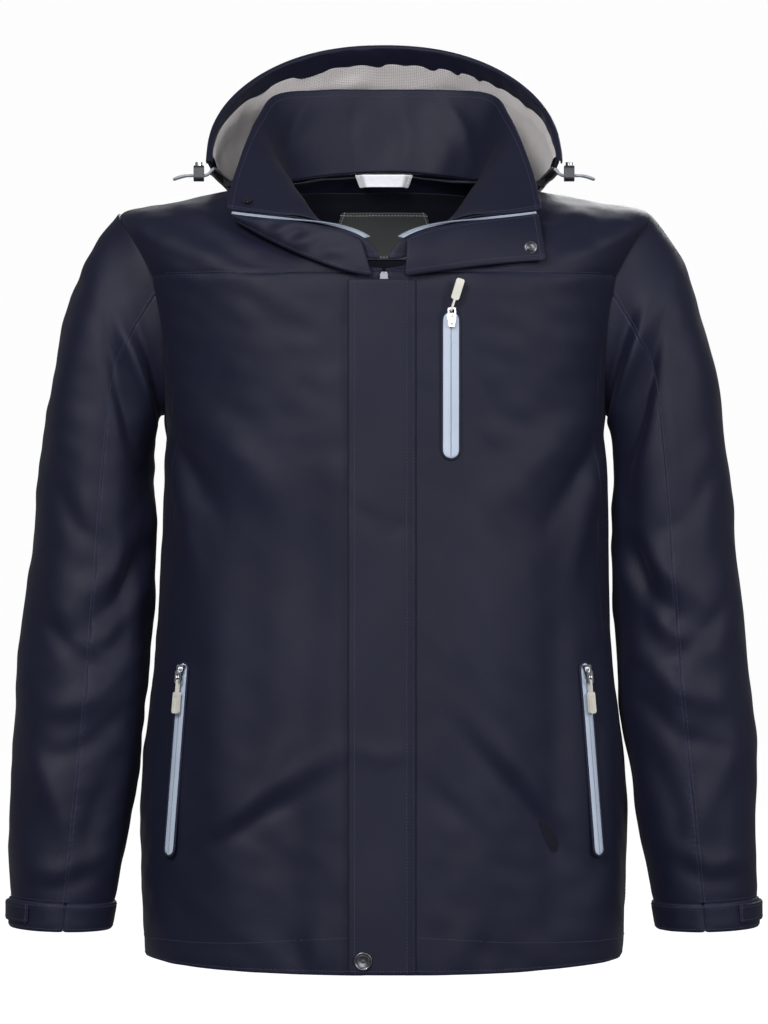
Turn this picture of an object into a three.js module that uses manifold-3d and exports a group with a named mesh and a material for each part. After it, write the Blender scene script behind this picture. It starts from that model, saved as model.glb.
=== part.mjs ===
// Foul weather jacket: a hooded sailing jacket that hangs by its loop.
// Millimetres, +Z up, the front faces -Y, +X is the wearer's left.
// The origin is the point of the hanger loop that rests on a hook, at the back of the neck.

import * as THREE from 'three';
import { mergeVertices } from 'three/addons/utils/BufferGeometryUtils.js';
import Module from 'manifold-3d';

const wasm = await Module();
wasm.setup();

// ---------------------------------------------------------------- cloth and clearances
const cloth = 2.4; // one sewn layer of coated cloth with its membrane
const liningCloth = 1.5; // mesh or taffeta lining
const seamGap = 0.4; // between pieces that are sewn edge to edge
const layerGap = 1.0; // between pieces that lie on each other
const liningSet = 9; // from the shell's outer face to the lining

// ---------------------------------------------------------------- body
const bodyLength = 782; // origin down to the hem at the centre front
const sideHemRise = 7; // the hem is this much higher at the sides
const underarmDrop = 240; // origin down to the underarm point
const halfChest = 222;
const halfWaist = 228;
const halfHip = 242;
const halfHem = 239;
const frontDepth = 150; // axis to the centre front at the hem
const backDepth = 134; // axis to the centre back
const halfShoulder = 264;
const shoulderDrop = 37;
const yokeDrop = 104; // origin down to the yoke seam

// ---------------------------------------------------------------- neck and collar
const halfNeck = 98;
const neckFront = 140; // axis to the bottom of the neck opening
const neckBack = 73;
const neckFrontDrop = 101;
const neckBackRise = 8;
const collarBackHeight = 84;
const collarHalfSpread = 128; // half width of the collar's top edge beside the neck
const collarCorner = [152, -92, -42]; // top front corner of the open collar
const lapelWidth = 52; // the strip of storm flap that is folded out on the collar
const guardWidth = 30; // the strip behind the zip on the other side

// ---------------------------------------------------------------- sleeves
const sleeveLength = 745; // origin down to the cuff's edge
const sleeveOut = 371; // axis to the outer side of the cuff
const sleeveDepth = 70; // half depth at the upper arm
const cuffDepth = 55; // half depth at the cuff
const cuffWidth = 100; // across the cuff
const cuffHeight = 27;
const armholeReach = 22 * Math.PI / 180; // half the armhole, as an angle round the body
const tabHeight = 17;
const tabThick = 2.6;

// ---------------------------------------------------------------- front closure
const frontEdge = 6.6; // centre line to the edge of each front
const zipTapeWidth = 13;
const zipTapeThick = 1.2;
const flapSeam = 31; // centre line to the seam of the storm flap
const flapFree = 34; // centre line to its free edge
const flapTop = 112; // origin down to its top edge
const flapLift = 3.6; // shell's outer face to the flap's inner face
const mainSliderWidth = 7.6;
const mainSliderLength = 13;
const snapRadius = 9;
const snapInset = 14; // snap's centre to the flap's edges
const lapelSnapRadius = 6.5;

// ---------------------------------------------------------------- pocket zips
const chestZip = { x: 64.5, top: 143, length: 141, width: 15.4, rise: Math.PI, lean: 0.3 };
const handZip = { xTop: 195, xLow: 207, top: 484, low: 671, width: 11 };
const sliderLength = 13;
const sliderWidth = 9;
const sliderThick = 3.6;
const bailHeight = 3.6;
const bailWidth = 2.2;
const linkWidth = 8;
const linkLength = 12;
const linkBar = 1.5;
const pullerWidth = 8;
const pullerLength = 21;
const pullerThick = 3.4;
const neckLength = 9;

// ---------------------------------------------------------------- hood
const hoodHalfWidth = 176;
const hoodApex = 143; // origin up to the top of the face opening
const hoodApexBack = 122;
const hoodFoldDrop = 150; // origin down to the fold that hangs behind
const hoodFoldBack = 203; // axis to the furthest point behind
const hoodAxisY = -15;
const hoodAxisZ = 0;
const cordRadius = 1.3;
const lockHalf = 7.4; // half the depth of a cord lock
const lockStart = 179.5; // centre line to the near side of the cord lock
const lockLength = 10;
const plungerRadius = 3.6;

// ---------------------------------------------------------------- labels
const loopWidth = 58;
const loopHeight = 12;
const loopStand = 7; // clear space behind the hanger loop
const labelWidth = 96;
const labelHeight = 52;

// ================================================================ helpers
const quarter = Math.PI / 2;
const vec = (x, y, z) => new THREE.Vector3(x, y, z);
const mix = (a, b, t) => a + (b - a) * t;
const clamp = (t) => Math.min(1, Math.max(0, t));
const part = new THREE.Group();
part.name = 'foul_weather_jacket';

function finish(colour, roughness, metalness = 0) {
  return new THREE.MeshStandardMaterial({ color: colour, roughness, metalness });
}
const navy = () => finish(0x1d2133, 0.7);
const darkLining = () => finish(0x14161f, 0.85);
const paleMesh = () => finish(0xb4aeae, 0.9);
const coatedZip = () => finish(0x9aa5b4, 0.45);
const moulded = () => finish(0xb9b6ad, 0.5);
const steel = () => finish(0xb8bcc2, 0.3, 0.9);
const darkMetal = () => finish(0x4a4a4e, 0.35, 0.9);

function add(name, geometry, material, parent = part) {
  const mesh = new THREE.Mesh(geometry, material);
  mesh.name = name;
  parent.add(mesh);
  return mesh;
}

// A smooth curve through values that belong to the stations 0, 1, 2 ...
function through(values, v) {
  const last = values.length - 1;
  const i = Math.min(last - 1, Math.max(0, Math.floor(v)));
  const t = v - i;
  const b = values[i];
  const c = values[i + 1];
  const a = i > 0 ? values[i - 1] : 2 * b - c;
  const d = i + 2 <= last ? values[i + 2] : 2 * c - b;
  const bend = 2 * a - 5 * b + 4 * c - d + t * (3 * b - a - 3 * c + d);
  return b + 0.5 * t * (c - a + t * bend);
}

function throughPoints(points, v) {
  return vec(...[0, 1, 2].map((k) => through(points.map((p) => p[k]), v)));
}

// A closed solid between two offsets of a surface, over a grid of rows and columns.
// place(s, t) gives the surface's own coordinates for the grid position.
function layer(surface, place, columns, rows, outer, inner) {
  const positions = [];
  const at = (i, j, side) => (side * (rows + 1) + j) * (columns + 1) + i;
  for (const offset of [outer, inner]) {
    for (let j = 0; j <= rows; j += 1) {
      for (let i = 0; i <= columns; i += 1) {
        const [u, v] = place(i / columns, j / rows);
        const point = surface(u, v).addScaledVector(normalOf(surface, u, v), offset);
        positions.push(point.x, point.y, point.z);
      }
    }
  }
  const index = [];
  const quad = (a, b, c, d) => index.push(a, b, c, a, c, d);
  for (let j = 0; j < rows; j += 1) {
    for (let i = 0; i < columns; i += 1) {
      quad(at(i, j, 0), at(i + 1, j, 0), at(i + 1, j + 1, 0), at(i, j + 1, 0));
      quad(at(i, j, 1), at(i, j + 1, 1), at(i + 1, j + 1, 1), at(i + 1, j, 1));
    }
  }
  for (let i = 0; i < columns; i += 1) {
    quad(at(i, 0, 0), at(i, 0, 1), at(i + 1, 0, 1), at(i + 1, 0, 0));
    quad(at(i, rows, 0), at(i + 1, rows, 0), at(i + 1, rows, 1), at(i, rows, 1));
  }
  for (let j = 0; j < rows; j += 1) {
    quad(at(0, j, 0), at(0, j + 1, 0), at(0, j + 1, 1), at(0, j, 1));
    quad(at(columns, j, 0), at(columns, j, 1), at(columns, j + 1, 1), at(columns, j + 1, 0));
  }
  const geometry = new THREE.BufferGeometry();
  geometry.setAttribute('position', new THREE.Float32BufferAttribute(positions, 3));
  geometry.setIndex(index);
  return facingOut(geometry);
}

// The surface's outward normal, from small steps along its two coordinates.
function normalOf(surface, u, v) {
  const step = 1e-3;
  const along = surface(u + step, v).sub(surface(u - step, v));
  const up = surface(u, v + step).sub(surface(u, v - step));
  return along.cross(up).normalize();
}

function facingOut(geometry) {
  const index = geometry.index.array;
  const at = geometry.attributes.position;
  const corner = (k) => vec(at.getX(index[k]), at.getY(index[k]), at.getZ(index[k]));
  let volume = 0;
  for (let k = 0; k < index.length; k += 3) {
    volume += corner(k).dot(corner(k + 1).cross(corner(k + 2)));
  }
  if (volume < 0) {
    for (let k = 0; k < index.length; k += 3) {
      [index[k + 1], index[k + 2]] = [index[k + 2], index[k + 1]];
    }
  }
  return geometry;
}

function solidOf(geometry) {
  const bare = geometry.clone();
  bare.deleteAttribute('normal');
  bare.deleteAttribute('uv');
  const merged = mergeVertices(bare, 1e-4);
  const vertProperties = new Float32Array(merged.attributes.position.array);
  const triVerts = new Uint32Array(merged.index.array);
  return new wasm.Manifold(new wasm.Mesh({ numProp: 3, vertProperties, triVerts }));
}

function geometryOf(solid) {
  const mesh = solid.getMesh();
  const geometry = new THREE.BufferGeometry();
  geometry.setAttribute('position', new THREE.Float32BufferAttribute(mesh.vertProperties, 3));
  geometry.setIndex(Array.from(mesh.triVerts));
  return geometry;
}

const joined = (a, b) => geometryOf(solidOf(a).add(solidOf(b)));
const cutBy = (a, b) => geometryOf(solidOf(a).subtract(solidOf(b)));

// ================================================================ body surface
// Rings from the hem to the neck. A ring is an oval with its own height at side, front and back.
const waistDrop = underarmDrop + 230;
const hipDrop = waistDrop + 130;
const depthAt = (drop) => mix(neckFront, frontDepth, (drop - neckFrontDrop) / (bodyLength - neckFrontDrop));
const ring = (side, front, back, half, deep, square) => ({ side, front, back, half, deep, square });
const rings = [
  ring(-bodyLength + sideHemRise, -bodyLength, -bodyLength, halfHem, backDepth + 6, 2.4),
  ring(-hipDrop - 90, -hipDrop - 90, -hipDrop - 90, halfHip + 1, backDepth + 6, 2.4),
  ring(-hipDrop, -hipDrop, -hipDrop, halfHip, backDepth + 4, 2.4),
  ring(-waistDrop, -waistDrop, -waistDrop, halfWaist, backDepth, 2.4),
  ring(-underarmDrop - 70, -underarmDrop - 70, -underarmDrop - 70, halfChest, backDepth, 2.4),
  ring(-underarmDrop, -underarmDrop - 10, -underarmDrop, halfChest - 2, backDepth - 2, 2.4),
  ring(-150, -196, -140, halfChest + 10, backDepth - 4, 2.4),
  ring(-96, -160, -82, halfChest + 22, backDepth - 9, 2.3),
  ring(-62, -136, -42, mix(halfChest + 22, halfShoulder, 0.7), backDepth - 20, 2.2),
  ring(-shoulderDrop, -121, -18, halfShoulder, backDepth - 36, 2.0),
  ring(-26, -112, -5, mix(halfShoulder, halfNeck, 0.35), backDepth - 47, 2.0),
  ring(-14, -105, 3, mix(halfShoulder, halfNeck, 0.7), neckBack + 7, 2.0),
  ring(-6, -neckFrontDrop, neckBackRise, halfNeck, neckBack, 2.0),
];
const topRing = rings.length - 1;
const ringValue = (name, v) => through(rings.map((r) => r[name]), v);

// theta is 0 at the centre front, a quarter turn at the wearer's left side, half a turn at the back.
function bodySurface(theta, v) {
  const power = 2 / ringValue('square', v);
  const sine = Math.sin(theta);
  const cosine = Math.cos(theta);
  const across = Math.sign(sine) * Math.abs(sine) ** power;
  const deep = Math.abs(cosine) ** power;
  const side = ringValue('side', v);
  const lean = cosine ** 2;
  const z = cosine > 0 ? mix(side, ringValue('front', v), lean) : mix(side, ringValue('back', v), lean);
  const y = cosine > 0 ? -depthAt(-ringValue('front', v)) * deep : ringValue('deep', v) * deep;
  return vec(ringValue('half', v) * across, y, z);
}

// The ring coordinate at which the surface reaches a height.
function ringAtHeight(theta, z) {
  let low = -0.2;
  let high = topRing + 0.2;
  for (let k = 0; k < 26; k += 1) {
    const middle = (low + high) / 2;
    if (bodySurface(theta, middle).z < z) low = middle;
    else high = middle;
  }
  return (low + high) / 2;
}

// The surface coordinates of a place on the front, given by its x and z.
function frontPlace(x, z) {
  let low = 0;
  let high = quarter;
  for (let k = 0; k < 22; k += 1) {
    const middle = (low + high) / 2;
    if (bodySurface(middle, ringAtHeight(middle, z)).x < Math.abs(x)) low = middle;
    else high = middle;
  }
  const theta = Math.sign(x) * (low + high) / 2;
  return [theta, ringAtHeight(theta, z)];
}

function onFront(x, z, offset = 0) {
  const [theta, v] = frontPlace(x, z);
  const point = bodySurface(theta, v);
  return point.addScaledVector(bodyNormal(theta, v), offset);
}

const bodyNormal = (theta, v) => normalOf(bodySurface, theta, v);

// ---------------------------------------------------------------- armhole and yoke lines

function armholeEdge(theta, upper) {
  const share = clamp(Math.abs(Math.abs(theta) - quarter) / armholeReach);
  const arch = Math.sqrt(1 - share * share);
  return upper ? mix(-yokeDrop, -shoulderDrop, arch) : mix(-yokeDrop, -underarmDrop, arch);
}

const inArmhole = (theta) => Math.abs(Math.abs(theta) - quarter) < armholeReach;
const bodyTop = (theta) => (inArmhole(theta) ? armholeEdge(theta, false) : -yokeDrop);
const yokeFoot = (theta) => (inArmhole(theta) ? armholeEdge(theta, true) : -yokeDrop);

// Columns crowd together beside the armhole, where its edge turns quickly.
function columnAngle(from, to, s) {
  const edge = quarter - armholeReach;
  const knee = 0.6;
  return s < knee ? mix(from, edge, s / knee) : mix(edge, to, ((s - knee) / (1 - knee)) ** 2);
}

// A sewn panel of the body, between two heights that may change round the body.
function bodyPanel(angle, foot, top, columns, rows, outer, inner) {
  const place = (s, t) => {
    const theta = angle(s);
    const low = ringAtHeight(theta, foot(theta) + seamGap);
    const high = top(theta) === null ? topRing - 0.02 : ringAtHeight(theta, top(theta) - seamGap);
    return [theta, mix(low, high, t)];
  };
  return layer(bodySurface, place, columns, rows, outer, inner);
}

// ================================================================ body panels
const frontAngle = Math.asin(frontEdge / halfShoulder);
const sideAngle = quarter - seamGap / halfChest;
const hemOf = (theta) => bodySurface(theta, 0).z;
const upToNeck = () => null;
const backAngle = (side, s) => side * (Math.PI - columnAngle(0, sideAngle, s));

for (const [side, name] of [[-1, 'right'], [1, 'left']]) {
  const frontColumn = (s) => side * columnAngle(frontAngle, sideAngle, s);
  add(`front_panel_${name}`, bodyPanel(frontColumn, hemOf, bodyTop, 12, 9, 0, -cloth), navy());
  add(`front_yoke_${name}`, bodyPanel(frontColumn, yokeFoot, upToNeck, 12, 5, 0, -cloth), navy());
  const lined = (theta) => Math.min(-neckFrontDrop - 30, bodyTop(theta) - 12);
  const liningHem = (theta) => hemOf(theta) + 18;
  add(
    `lining_${name}`,
    bodyPanel(frontColumn, liningHem, lined, 8, 6, -liningSet, -liningSet - liningCloth),
    darkLining(),
  );
}

// The back is one panel below the yoke and one above, from side seam to side seam.
function backColumn(s) {
  const half = s < 0.5 ? 1 - 2 * s : 2 * s - 1;
  return backAngle(s < 0.5 ? 1 : -1, half) + (s < 0.5 ? 0 : 2 * Math.PI);
}
add('back_panel', bodyPanel(backColumn, hemOf, bodyTop, 20, 9, 0, -cloth), navy());
add('back_yoke', bodyPanel(backColumn, yokeFoot, upToNeck, 20, 5, 0, -cloth), navy());
add(
  'lining_back',
  bodyPanel(
    (s) => mix(quarter + armholeReach + 0.05, 3 * quarter - armholeReach - 0.05, s),
    (theta) => hemOf(theta) + 18,
    () => neckBackRise - 14,
    10,
    12,
    -liningSet,
    -liningSet - liningCloth,
  ),
  darkLining(),
);

// ================================================================ sleeves
// Stations down the sleeve: the outer edge, the inner edge and the half depth at each.
const elbowOut = mix(halfShoulder, sleeveOut, 0.9);
const inner = (drop) => halfWaist + 2.5 + Math.max(0, drop - waistDrop) * 0.09;
const sleeveStations = [
  { out: [halfShoulder + 1, -shoulderDrop], in: [halfChest + 5, -underarmDrop + 2], deep: 60, shift: 0 },
  { out: [297, -82], in: [halfChest + 7, -underarmDrop - 18], deep: 67, shift: 0 },
  { out: [321, -155], in: [halfChest + 7, -underarmDrop - 48], deep: sleeveDepth, shift: -2 },
  { out: [339, -262], in: [halfWaist + 1, -underarmDrop - 110], deep: sleeveDepth, shift: -6 },
  { out: [elbowOut - 6, -390], in: [halfWaist + 3, -445], deep: sleeveDepth - 2, shift: -12 },
  { out: [elbowOut + 5, -505], in: [inner(535), -535], deep: sleeveDepth - 5, shift: -20 },
  { out: [sleeveOut - 1, -620], in: [inner(560) + 12, -632], deep: sleeveDepth - 9, shift: -26 },
  {
    out: [sleeveOut, -sleeveLength],
    in: [sleeveOut - cuffWidth, -sleeveLength - 3],
    deep: cuffDepth,
    shift: -30,
  },
];
const cuffStation = sleeveStations.length - 1;
const cuffTopStation = cuffStation - cuffHeight / (sleeveLength - 620);
const stationValue = (pick, v) => through(sleeveStations.map(pick), v);

// phi is 0 on the outer side, a quarter turn at the front and half a turn on the inner side.
function sleeveSurface(side) {
  return (phi, v) => {
    const along = (1 + Math.cos(phi)) / 2;
    const x = mix(stationValue((k) => k.in[0], v), stationValue((k) => k.out[0], v), along);
    const z = mix(stationValue((k) => k.in[1], v), stationValue((k) => k.out[1], v), along);
    const deep = stationValue((k) => k.deep, v) * Math.sin(phi);
    return vec(side * x, stationValue((k) => k.shift, v) - deep, z);
  };
}

const rimClear = 3.2; // the sleeve's seam stands this far out of the armhole's edge

// The sleeve starts on the edge of the armhole and leaves it for its own rings further down.
function armholeRim(side, phi) {
  const upper = Math.cos(phi) > 0;
  const theta = side * (quarter - Math.sin(phi) * armholeReach);
  const reach = Math.abs(Math.cos(phi));
  const z = upper ? mix(-yokeDrop, -shoulderDrop, reach) : mix(-yokeDrop, -underarmDrop, reach);
  const v = ringAtHeight(theta, z);
  return bodySurface(theta, v).add(vec(side * rimClear, 0, 0));
}

function sewnSleeve(side) {
  const free = sleeveSurface(side);
  return (phi, v) => {
    const blend = clamp(1 - v);
    const point = free(phi, v);
    return blend > 0 ? point.lerp(armholeRim(side, phi), blend * blend) : point;
  };
}

const underSeam = 1.75; // angle from the outer side to the seams of the under sleeve
for (const [side, name] of [[-1, 'right'], [1, 'left']]) {
  const surface = sewnSleeve(side);
  const outSign = side * Math.sign(normalOf(surface, 0, 4).x);
  const trim = seamGap / sleeveDepth;
  const sewn = (from, to, columns, start, end, rows, near, far) => {
    const place = (s, t) => [mix(from + trim, to - trim, s), mix(start, end, t)];
    return layer(surface, place, columns, rows, outSign * near, outSign * far);
  };
  const top = 0.02;
  const foot = cuffTopStation - 0.004;
  add(`sleeve_upper_${name}`, sewn(-underSeam, underSeam, 9, top, foot, 12, 0, -cloth), navy());
  add(`sleeve_under_${name}`, sewn(underSeam, 2 * Math.PI - underSeam, 7, top, foot, 12, 0, -cloth), navy());
  const cuffRound = [underSeam, 2 * Math.PI + underSeam];
  add(`cuff_${name}`, sewn(...cuffRound, 16, cuffTopStation + 0.004, cuffStation, 1, 0, -cloth), navy());

  // The tab is sewn on at the front of the cuff and wraps round its outer side.
  const cuffSpan = cuffStation - cuffTopStation;
  const tabMiddle = cuffTopStation + 0.42 * cuffSpan;
  const halfTab = 0.5 * cuffSpan * tabHeight / cuffHeight;
  const tabLift = layerGap + 0.25;
  const tabEnd = -0.75;
  add(
    `cuff_tab_${name}`,
    sewn(tabEnd, 1.0, 8, tabMiddle - halfTab, tabMiddle + halfTab, 2, tabLift + tabThick, tabLift),
    navy(),
  );
}

// ================================================================ collar
// u runs from the wearer's left front (-1) round the back (0) to the right front (1), h up the collar.
const neckAngle = 0.012;
const cornerX = collarCorner[0];
const collarTop = [
  [0, neckBack + 5, neckBackRise + collarBackHeight],
  [0.52 * collarHalfSpread, neckBack + 1, neckBackRise + collarBackHeight - 1],
  [0.87 * collarHalfSpread, neckBack - 22, neckBackRise + collarBackHeight - 9],
  [collarHalfSpread, 14, neckBackRise + collarBackHeight - 36],
  [mix(collarHalfSpread, cornerX, 0.4), -24, neckBackRise + collarBackHeight - 68],
  [mix(collarHalfSpread, cornerX, 0.8), -62, mix(collarCorner[2], 0, 0.7)],
  collarCorner,
];
const edgeRise = 24; // the front edge climbs steeply from the bottom of the opening

function collarSurface(u, h) {
  const theta = Math.PI + u * (Math.PI - neckAngle);
  const base = bodySurface(theta, topRing).add(vec(0, 0, seamGap));
  const top = throughPoints(collarTop, Math.min(1, Math.abs(u)) * (collarTop.length - 1));
  top.x *= -Math.sign(u || 1);
  const front = clamp((Math.abs(u) - 0.55) / 0.45) ** 2;
  const height = clamp(h);
  const point = base.lerp(top, h);
  point.z += front * edgeRise * Math.sin(Math.PI * height ** 0.45);
  point.y -= front * 6 * Math.sin(Math.PI * height);
  return point;
}

const collarPlace = (from, to) => (s, t) => [mix(-1, 1, s), mix(from, to, t)];
const outSign = Math.sign(normalOf(collarSurface, 0, 0.5).y);
const collarLayer = (place, columns, rows, near, far) =>
  layer(collarSurface, place, columns, rows, outSign * near, outSign * far);
add('collar_shell', collarLayer(collarPlace(0.01, 1), 24, 4, 0, -cloth), navy());
const facingNear = -cloth - 2.3;
const facingFar = facingNear - liningCloth;
add('collar_facing', collarLayer(collarPlace(0.02, 0.985), 24, 4, facingNear, facingFar), navy());

// ================================================================ main zip
const tapeSet = -cloth - layerGap;
const zipFoot = -bodyLength + 6;
const zipHead = -neckFrontDrop - 3;
function frontStrip(xFrom, xTo, zFrom, zTo, columns, rows, near, far) {
  const place = (s, t) => frontPlace(mix(xFrom, xTo, s), mix(zFrom, zTo, t));
  return layer(bodySurface, place, columns, rows, near, far);
}
const collarEdge = (side, h) => collarSurface(-side, h);
const edgeTape = 5; // how far the tape stands out from the collar's front edge
for (const [side, name] of [[-1, 'right'], [1, 'left']]) {
  const near = side * 0.8;
  const far = side * zipTapeWidth;
  add(
    `main_zip_tape_${name}`,
    frontStrip(near, far, zipFoot, zipHead, 2, 6, tapeSet, tapeSet - zipTapeThick),
    coatedZip(),
  );
  const beyond = (w, h) => {
    const edge = collarEdge(side, h);
    const out = edge.clone().sub(collarSurface(-side * 0.99, h)).normalize();
    return edge.addScaledVector(out, w);
  };
  const place = (s, t) => [mix(0.5, edgeTape, s), mix(0.12, 0.97, t)];
  add(`collar_zip_tape_${name}`, layer(beyond, place, 1, 10, 0.6, -0.6), coatedZip());
}

// ================================================================ storm flap, lapel and guard
add(
  'storm_flap',
  frontStrip(-flapFree, flapSeam, -bodyLength + 1, -flapTop, 6, 12, flapLift + cloth, flapLift),
  navy(),
);

function folded(side, low, drop) {
  return (s, t) => {
    const edge = collarEdge(side, mix(0.14, 0.985, s));
    const top = edge.add(vec(0, -2 * drop, -drop));
    const [x, z] = low(s);
    return top.lerp(onFront(side * x, z, 8), t);
  };
}
const lapelLow = (s) => [mix(20, cornerX + 3, s), mix(-flapTop + 3, collarCorner[2] - lapelWidth, s)];
const lapelSurface = folded(1, lapelLow, 2.6);
const lapelPlace = (s, t) => [s, t];
const lapelSign = -Math.sign(normalOf(lapelSurface, 0.5, 0.5).y);
add(
  'collar_flap',
  layer(lapelSurface, lapelPlace, 10, 4, lapelSign * cloth, 0),
  navy(),
);
const guardFoot = collarCorner[2] - guardWidth / 2;
const guardLow = (s) => [mix(12, cornerX - 8, s), mix(-flapTop + 4, guardFoot, s ** 1.6)];
const guardSurface = folded(-1, guardLow, 2.9);
const guardSign = -Math.sign(normalOf(guardSurface, 0.5, 0.5).y);
add('fly_guard', layer(guardSurface, lapelPlace, 8, 3, guardSign * cloth, 0), navy());

// ================================================================ seats
// A group whose local -Y points away from the cloth and whose local +Z runs up along it.
function seat(point, up, outward, name = '') {
  const away = outward.clone().normalize().negate();
  const across = away.clone().cross(up).normalize();
  const along = across.clone().cross(away).normalize();
  const group = new THREE.Group();
  group.matrix.makeBasis(across, away, along).setPosition(point);
  group.matrix.decompose(group.position, group.quaternion, group.scale);
  group.name = name;
  part.add(group);
  return group;
}

// A flat piece with its outline in local x and z, from one distance off the cloth to another.
function plate(outline, from, to, curveSegments = 5) {
  const settings = { depth: to - from, bevelEnabled: false, curveSegments };
  return new THREE.ExtrudeGeometry(outline, settings).rotateX(quarter).translate(0, -from, 0);
}

// A flat piece with its outline in local z and distance off the cloth, centred across the cloth.
function standing(outline, width) {
  const geometry = new THREE.ExtrudeGeometry(outline, { depth: width, bevelEnabled: false, curveSegments: 5 });
  const turned = new THREE.Matrix4().makeBasis(vec(0, 0, 1), vec(0, -1, 0), vec(1, 0, 0));
  return geometry.translate(0, 0, -width / 2).applyMatrix4(turned);
}

// A rounded rectangle from one corner to the other.
function rounded(x0, y0, x1, y1, radius, path = new THREE.Shape()) {
  const r = Math.min(radius, (x1 - x0) / 2, (y1 - y0) / 2);
  path.moveTo(x0 + r, y0);
  path.lineTo(x1 - r, y0);
  path.absarc(x1 - r, y0 + r, r, -quarter, 0, false);
  path.lineTo(x1, y1 - r);
  path.absarc(x1 - r, y1 - r, r, 0, quarter, false);
  path.lineTo(x0 + r, y1);
  path.absarc(x0 + r, y1 - r, r, quarter, 2 * quarter, false);
  path.lineTo(x0, y0 + r);
  path.absarc(x0 + r, y0 + r, r, 2 * quarter, 3 * quarter, false);
  return path;
}

function framed(outline, x0, y0, x1, y1, radius) {
  outline.holes.push(rounded(x0, y0, x1, y1, radius, new THREE.Path()));
  return outline;
}

// How far the cloth stands out of a straight strip laid on it.
function clothUnder(group, width, length) {
  group.updateMatrixWorld(true);
  let most = 0;
  for (let i = 0; i <= 12; i += 1) {
    for (const x of [-width / 2, 0, width / 2]) {
      const spot = group.localToWorld(vec(x, 0, -length * i / 12));
      most = Math.max(most, -group.worldToLocal(onFront(spot.x, spot.z)).y);
    }
  }
  return most;
}

// ================================================================ pocket zips
const sliderRoom = 0.3; // between the slider and the tape it runs on
const bailHole = 2.2;

function sliderBody(from, width) {
  const half = width / 2;
  const outline = new THREE.Shape();
  outline.moveTo(-half, sliderLength / 2 - 2);
  outline.quadraticCurveTo(-half, sliderLength / 2, -half + 2, sliderLength / 2);
  outline.lineTo(half - 2, sliderLength / 2);
  outline.quadraticCurveTo(half, sliderLength / 2, half, sliderLength / 2 - 2);
  outline.lineTo(0.62 * half, -sliderLength / 2);
  outline.lineTo(-0.62 * half, -sliderLength / 2);
  outline.closePath();
  const top = from + sliderThick;
  const halfBail = sliderLength / 2 - 2.2;
  const bail = rounded(-halfBail, top - 0.6, halfBail, top + bailHeight - 0.4, 1.4);
  framed(bail, -halfBail + 1.4, top + 0.1, halfBail - 1.4, top + 0.1 + bailHole, 0.3);
  return joined(plate(outline, from, top), standing(bail, bailWidth));
}

function linkPiece() {
  const half = linkWidth / 2;
  const outline = rounded(-half, -linkLength, half, linkBar / 2, 1.8);
  framed(outline, -half + linkBar, -linkLength + linkBar, half - linkBar, -linkBar / 2, 1);
  return plate(outline, -linkBar / 2, linkBar / 2);
}

// The puller is a moulded tab on a corded neck that is looped through the end of the link.
function pullerPiece() {
  const half = pullerWidth / 2;
  const tab = rounded(-half, -neckLength - pullerLength, half, -neckLength, 2.2);
  const loop = rounded(-neckLength - 1, -1.9, 3.2, 1.9, 1.9);
  framed(loop, -1.1, -1.1, 2.1, 1.1, 0.4);
  const inset = rounded(-half + 1.8, -neckLength - pullerLength + 2.5, half - 1.8, -neckLength - 4, 1);
  const body = joined(plate(tab, -pullerThick / 2, pullerThick / 2), standing(loop, 2));
  return cutBy(body, plate(inset, pullerThick / 2 - 0.7, pullerThick));
}

// One pocket: tape, slider, link and puller, from the top end of the zip to the low end.
function pocketZip(name, topPlace, lowPlace, width, pullAngle, pullerTurn) {
  const topPoint = onFront(...topPlace);
  const lowPoint = onFront(...lowPlace);
  const middle = frontPlace((topPlace[0] + lowPlace[0]) / 2, (topPlace[1] + lowPlace[1]) / 2);
  const up = topPoint.clone().sub(lowPoint);
  const length = up.length();
  const group = seat(topPoint, up.normalize(), bodyNormal(...middle), `${name}_frame`);
  const lift = clothUnder(group, width, length) + 0.4;
  const half = width / 2;
  const outline = rounded(-half, -length, half, 0, half);
  add(`${name}_tape`, plate(outline, lift, lift + zipTapeThick, 6), coatedZip(), group);

  const sliderMiddle = -sliderLength / 2 - 1.5;
  const sliderFrom = lift + zipTapeThick + sliderRoom;
  const slider = new THREE.Group();
  slider.position.set(0, 0, sliderMiddle);
  group.add(slider);
  add(`${name}_slider`, sliderBody(sliderFrom, Math.min(sliderWidth, width - 2)), steel(), slider);

  const pivot = new THREE.Group();
  pivot.name = `${name}_pivot`;
  pivot.position.set(0, -(sliderFrom + sliderThick + 0.1 + bailHole / 2), 0);
  pivot.rotation.x = pullAngle;
  slider.add(pivot);
  add(`${name}_link`, linkPiece(), steel(), pivot);
  const hang = new THREE.Group();
  hang.position.set(0, 0, -linkLength + linkBar / 2);
  hang.rotation.y = pullerTurn;
  pivot.add(hang);
  add(`${name}_puller`, pullerPiece(), moulded(), hang);
}

pocketZip(
  'chest_zip',
  [chestZip.x, -chestZip.top],
  [chestZip.x, -chestZip.top - chestZip.length],
  chestZip.width,
  chestZip.rise,
  -chestZip.lean,
);
const bagNear = -cloth - 1.6; // outer face of the pocket bags
const bagFar = -liningSet + 2;
for (const [side, name] of [[-1, 'right'], [1, 'left']]) {
  const ends = [[side * handZip.xTop, -handZip.top], [side * handZip.xLow, -handZip.low]];
  pocketZip(`hand_zip_${name}`, ...ends, handZip.width, 0, 0);
  const bag = [side * (handZip.xTop - 95), side * (handZip.xTop - 6), -handZip.low - 25, -handZip.top + 5];
  add(`hand_pocket_bag_${name}`, frontStrip(...bag, 4, 5, bagNear, bagFar), darkLining());
}
const chestBag = [chestZip.x - 25, chestZip.x + 95, -chestZip.top - chestZip.length - 20, -chestZip.top + 6];
add('chest_pocket_bag', frontStrip(...chestBag, 4, 4, bagNear, bagFar), darkLining());

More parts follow.
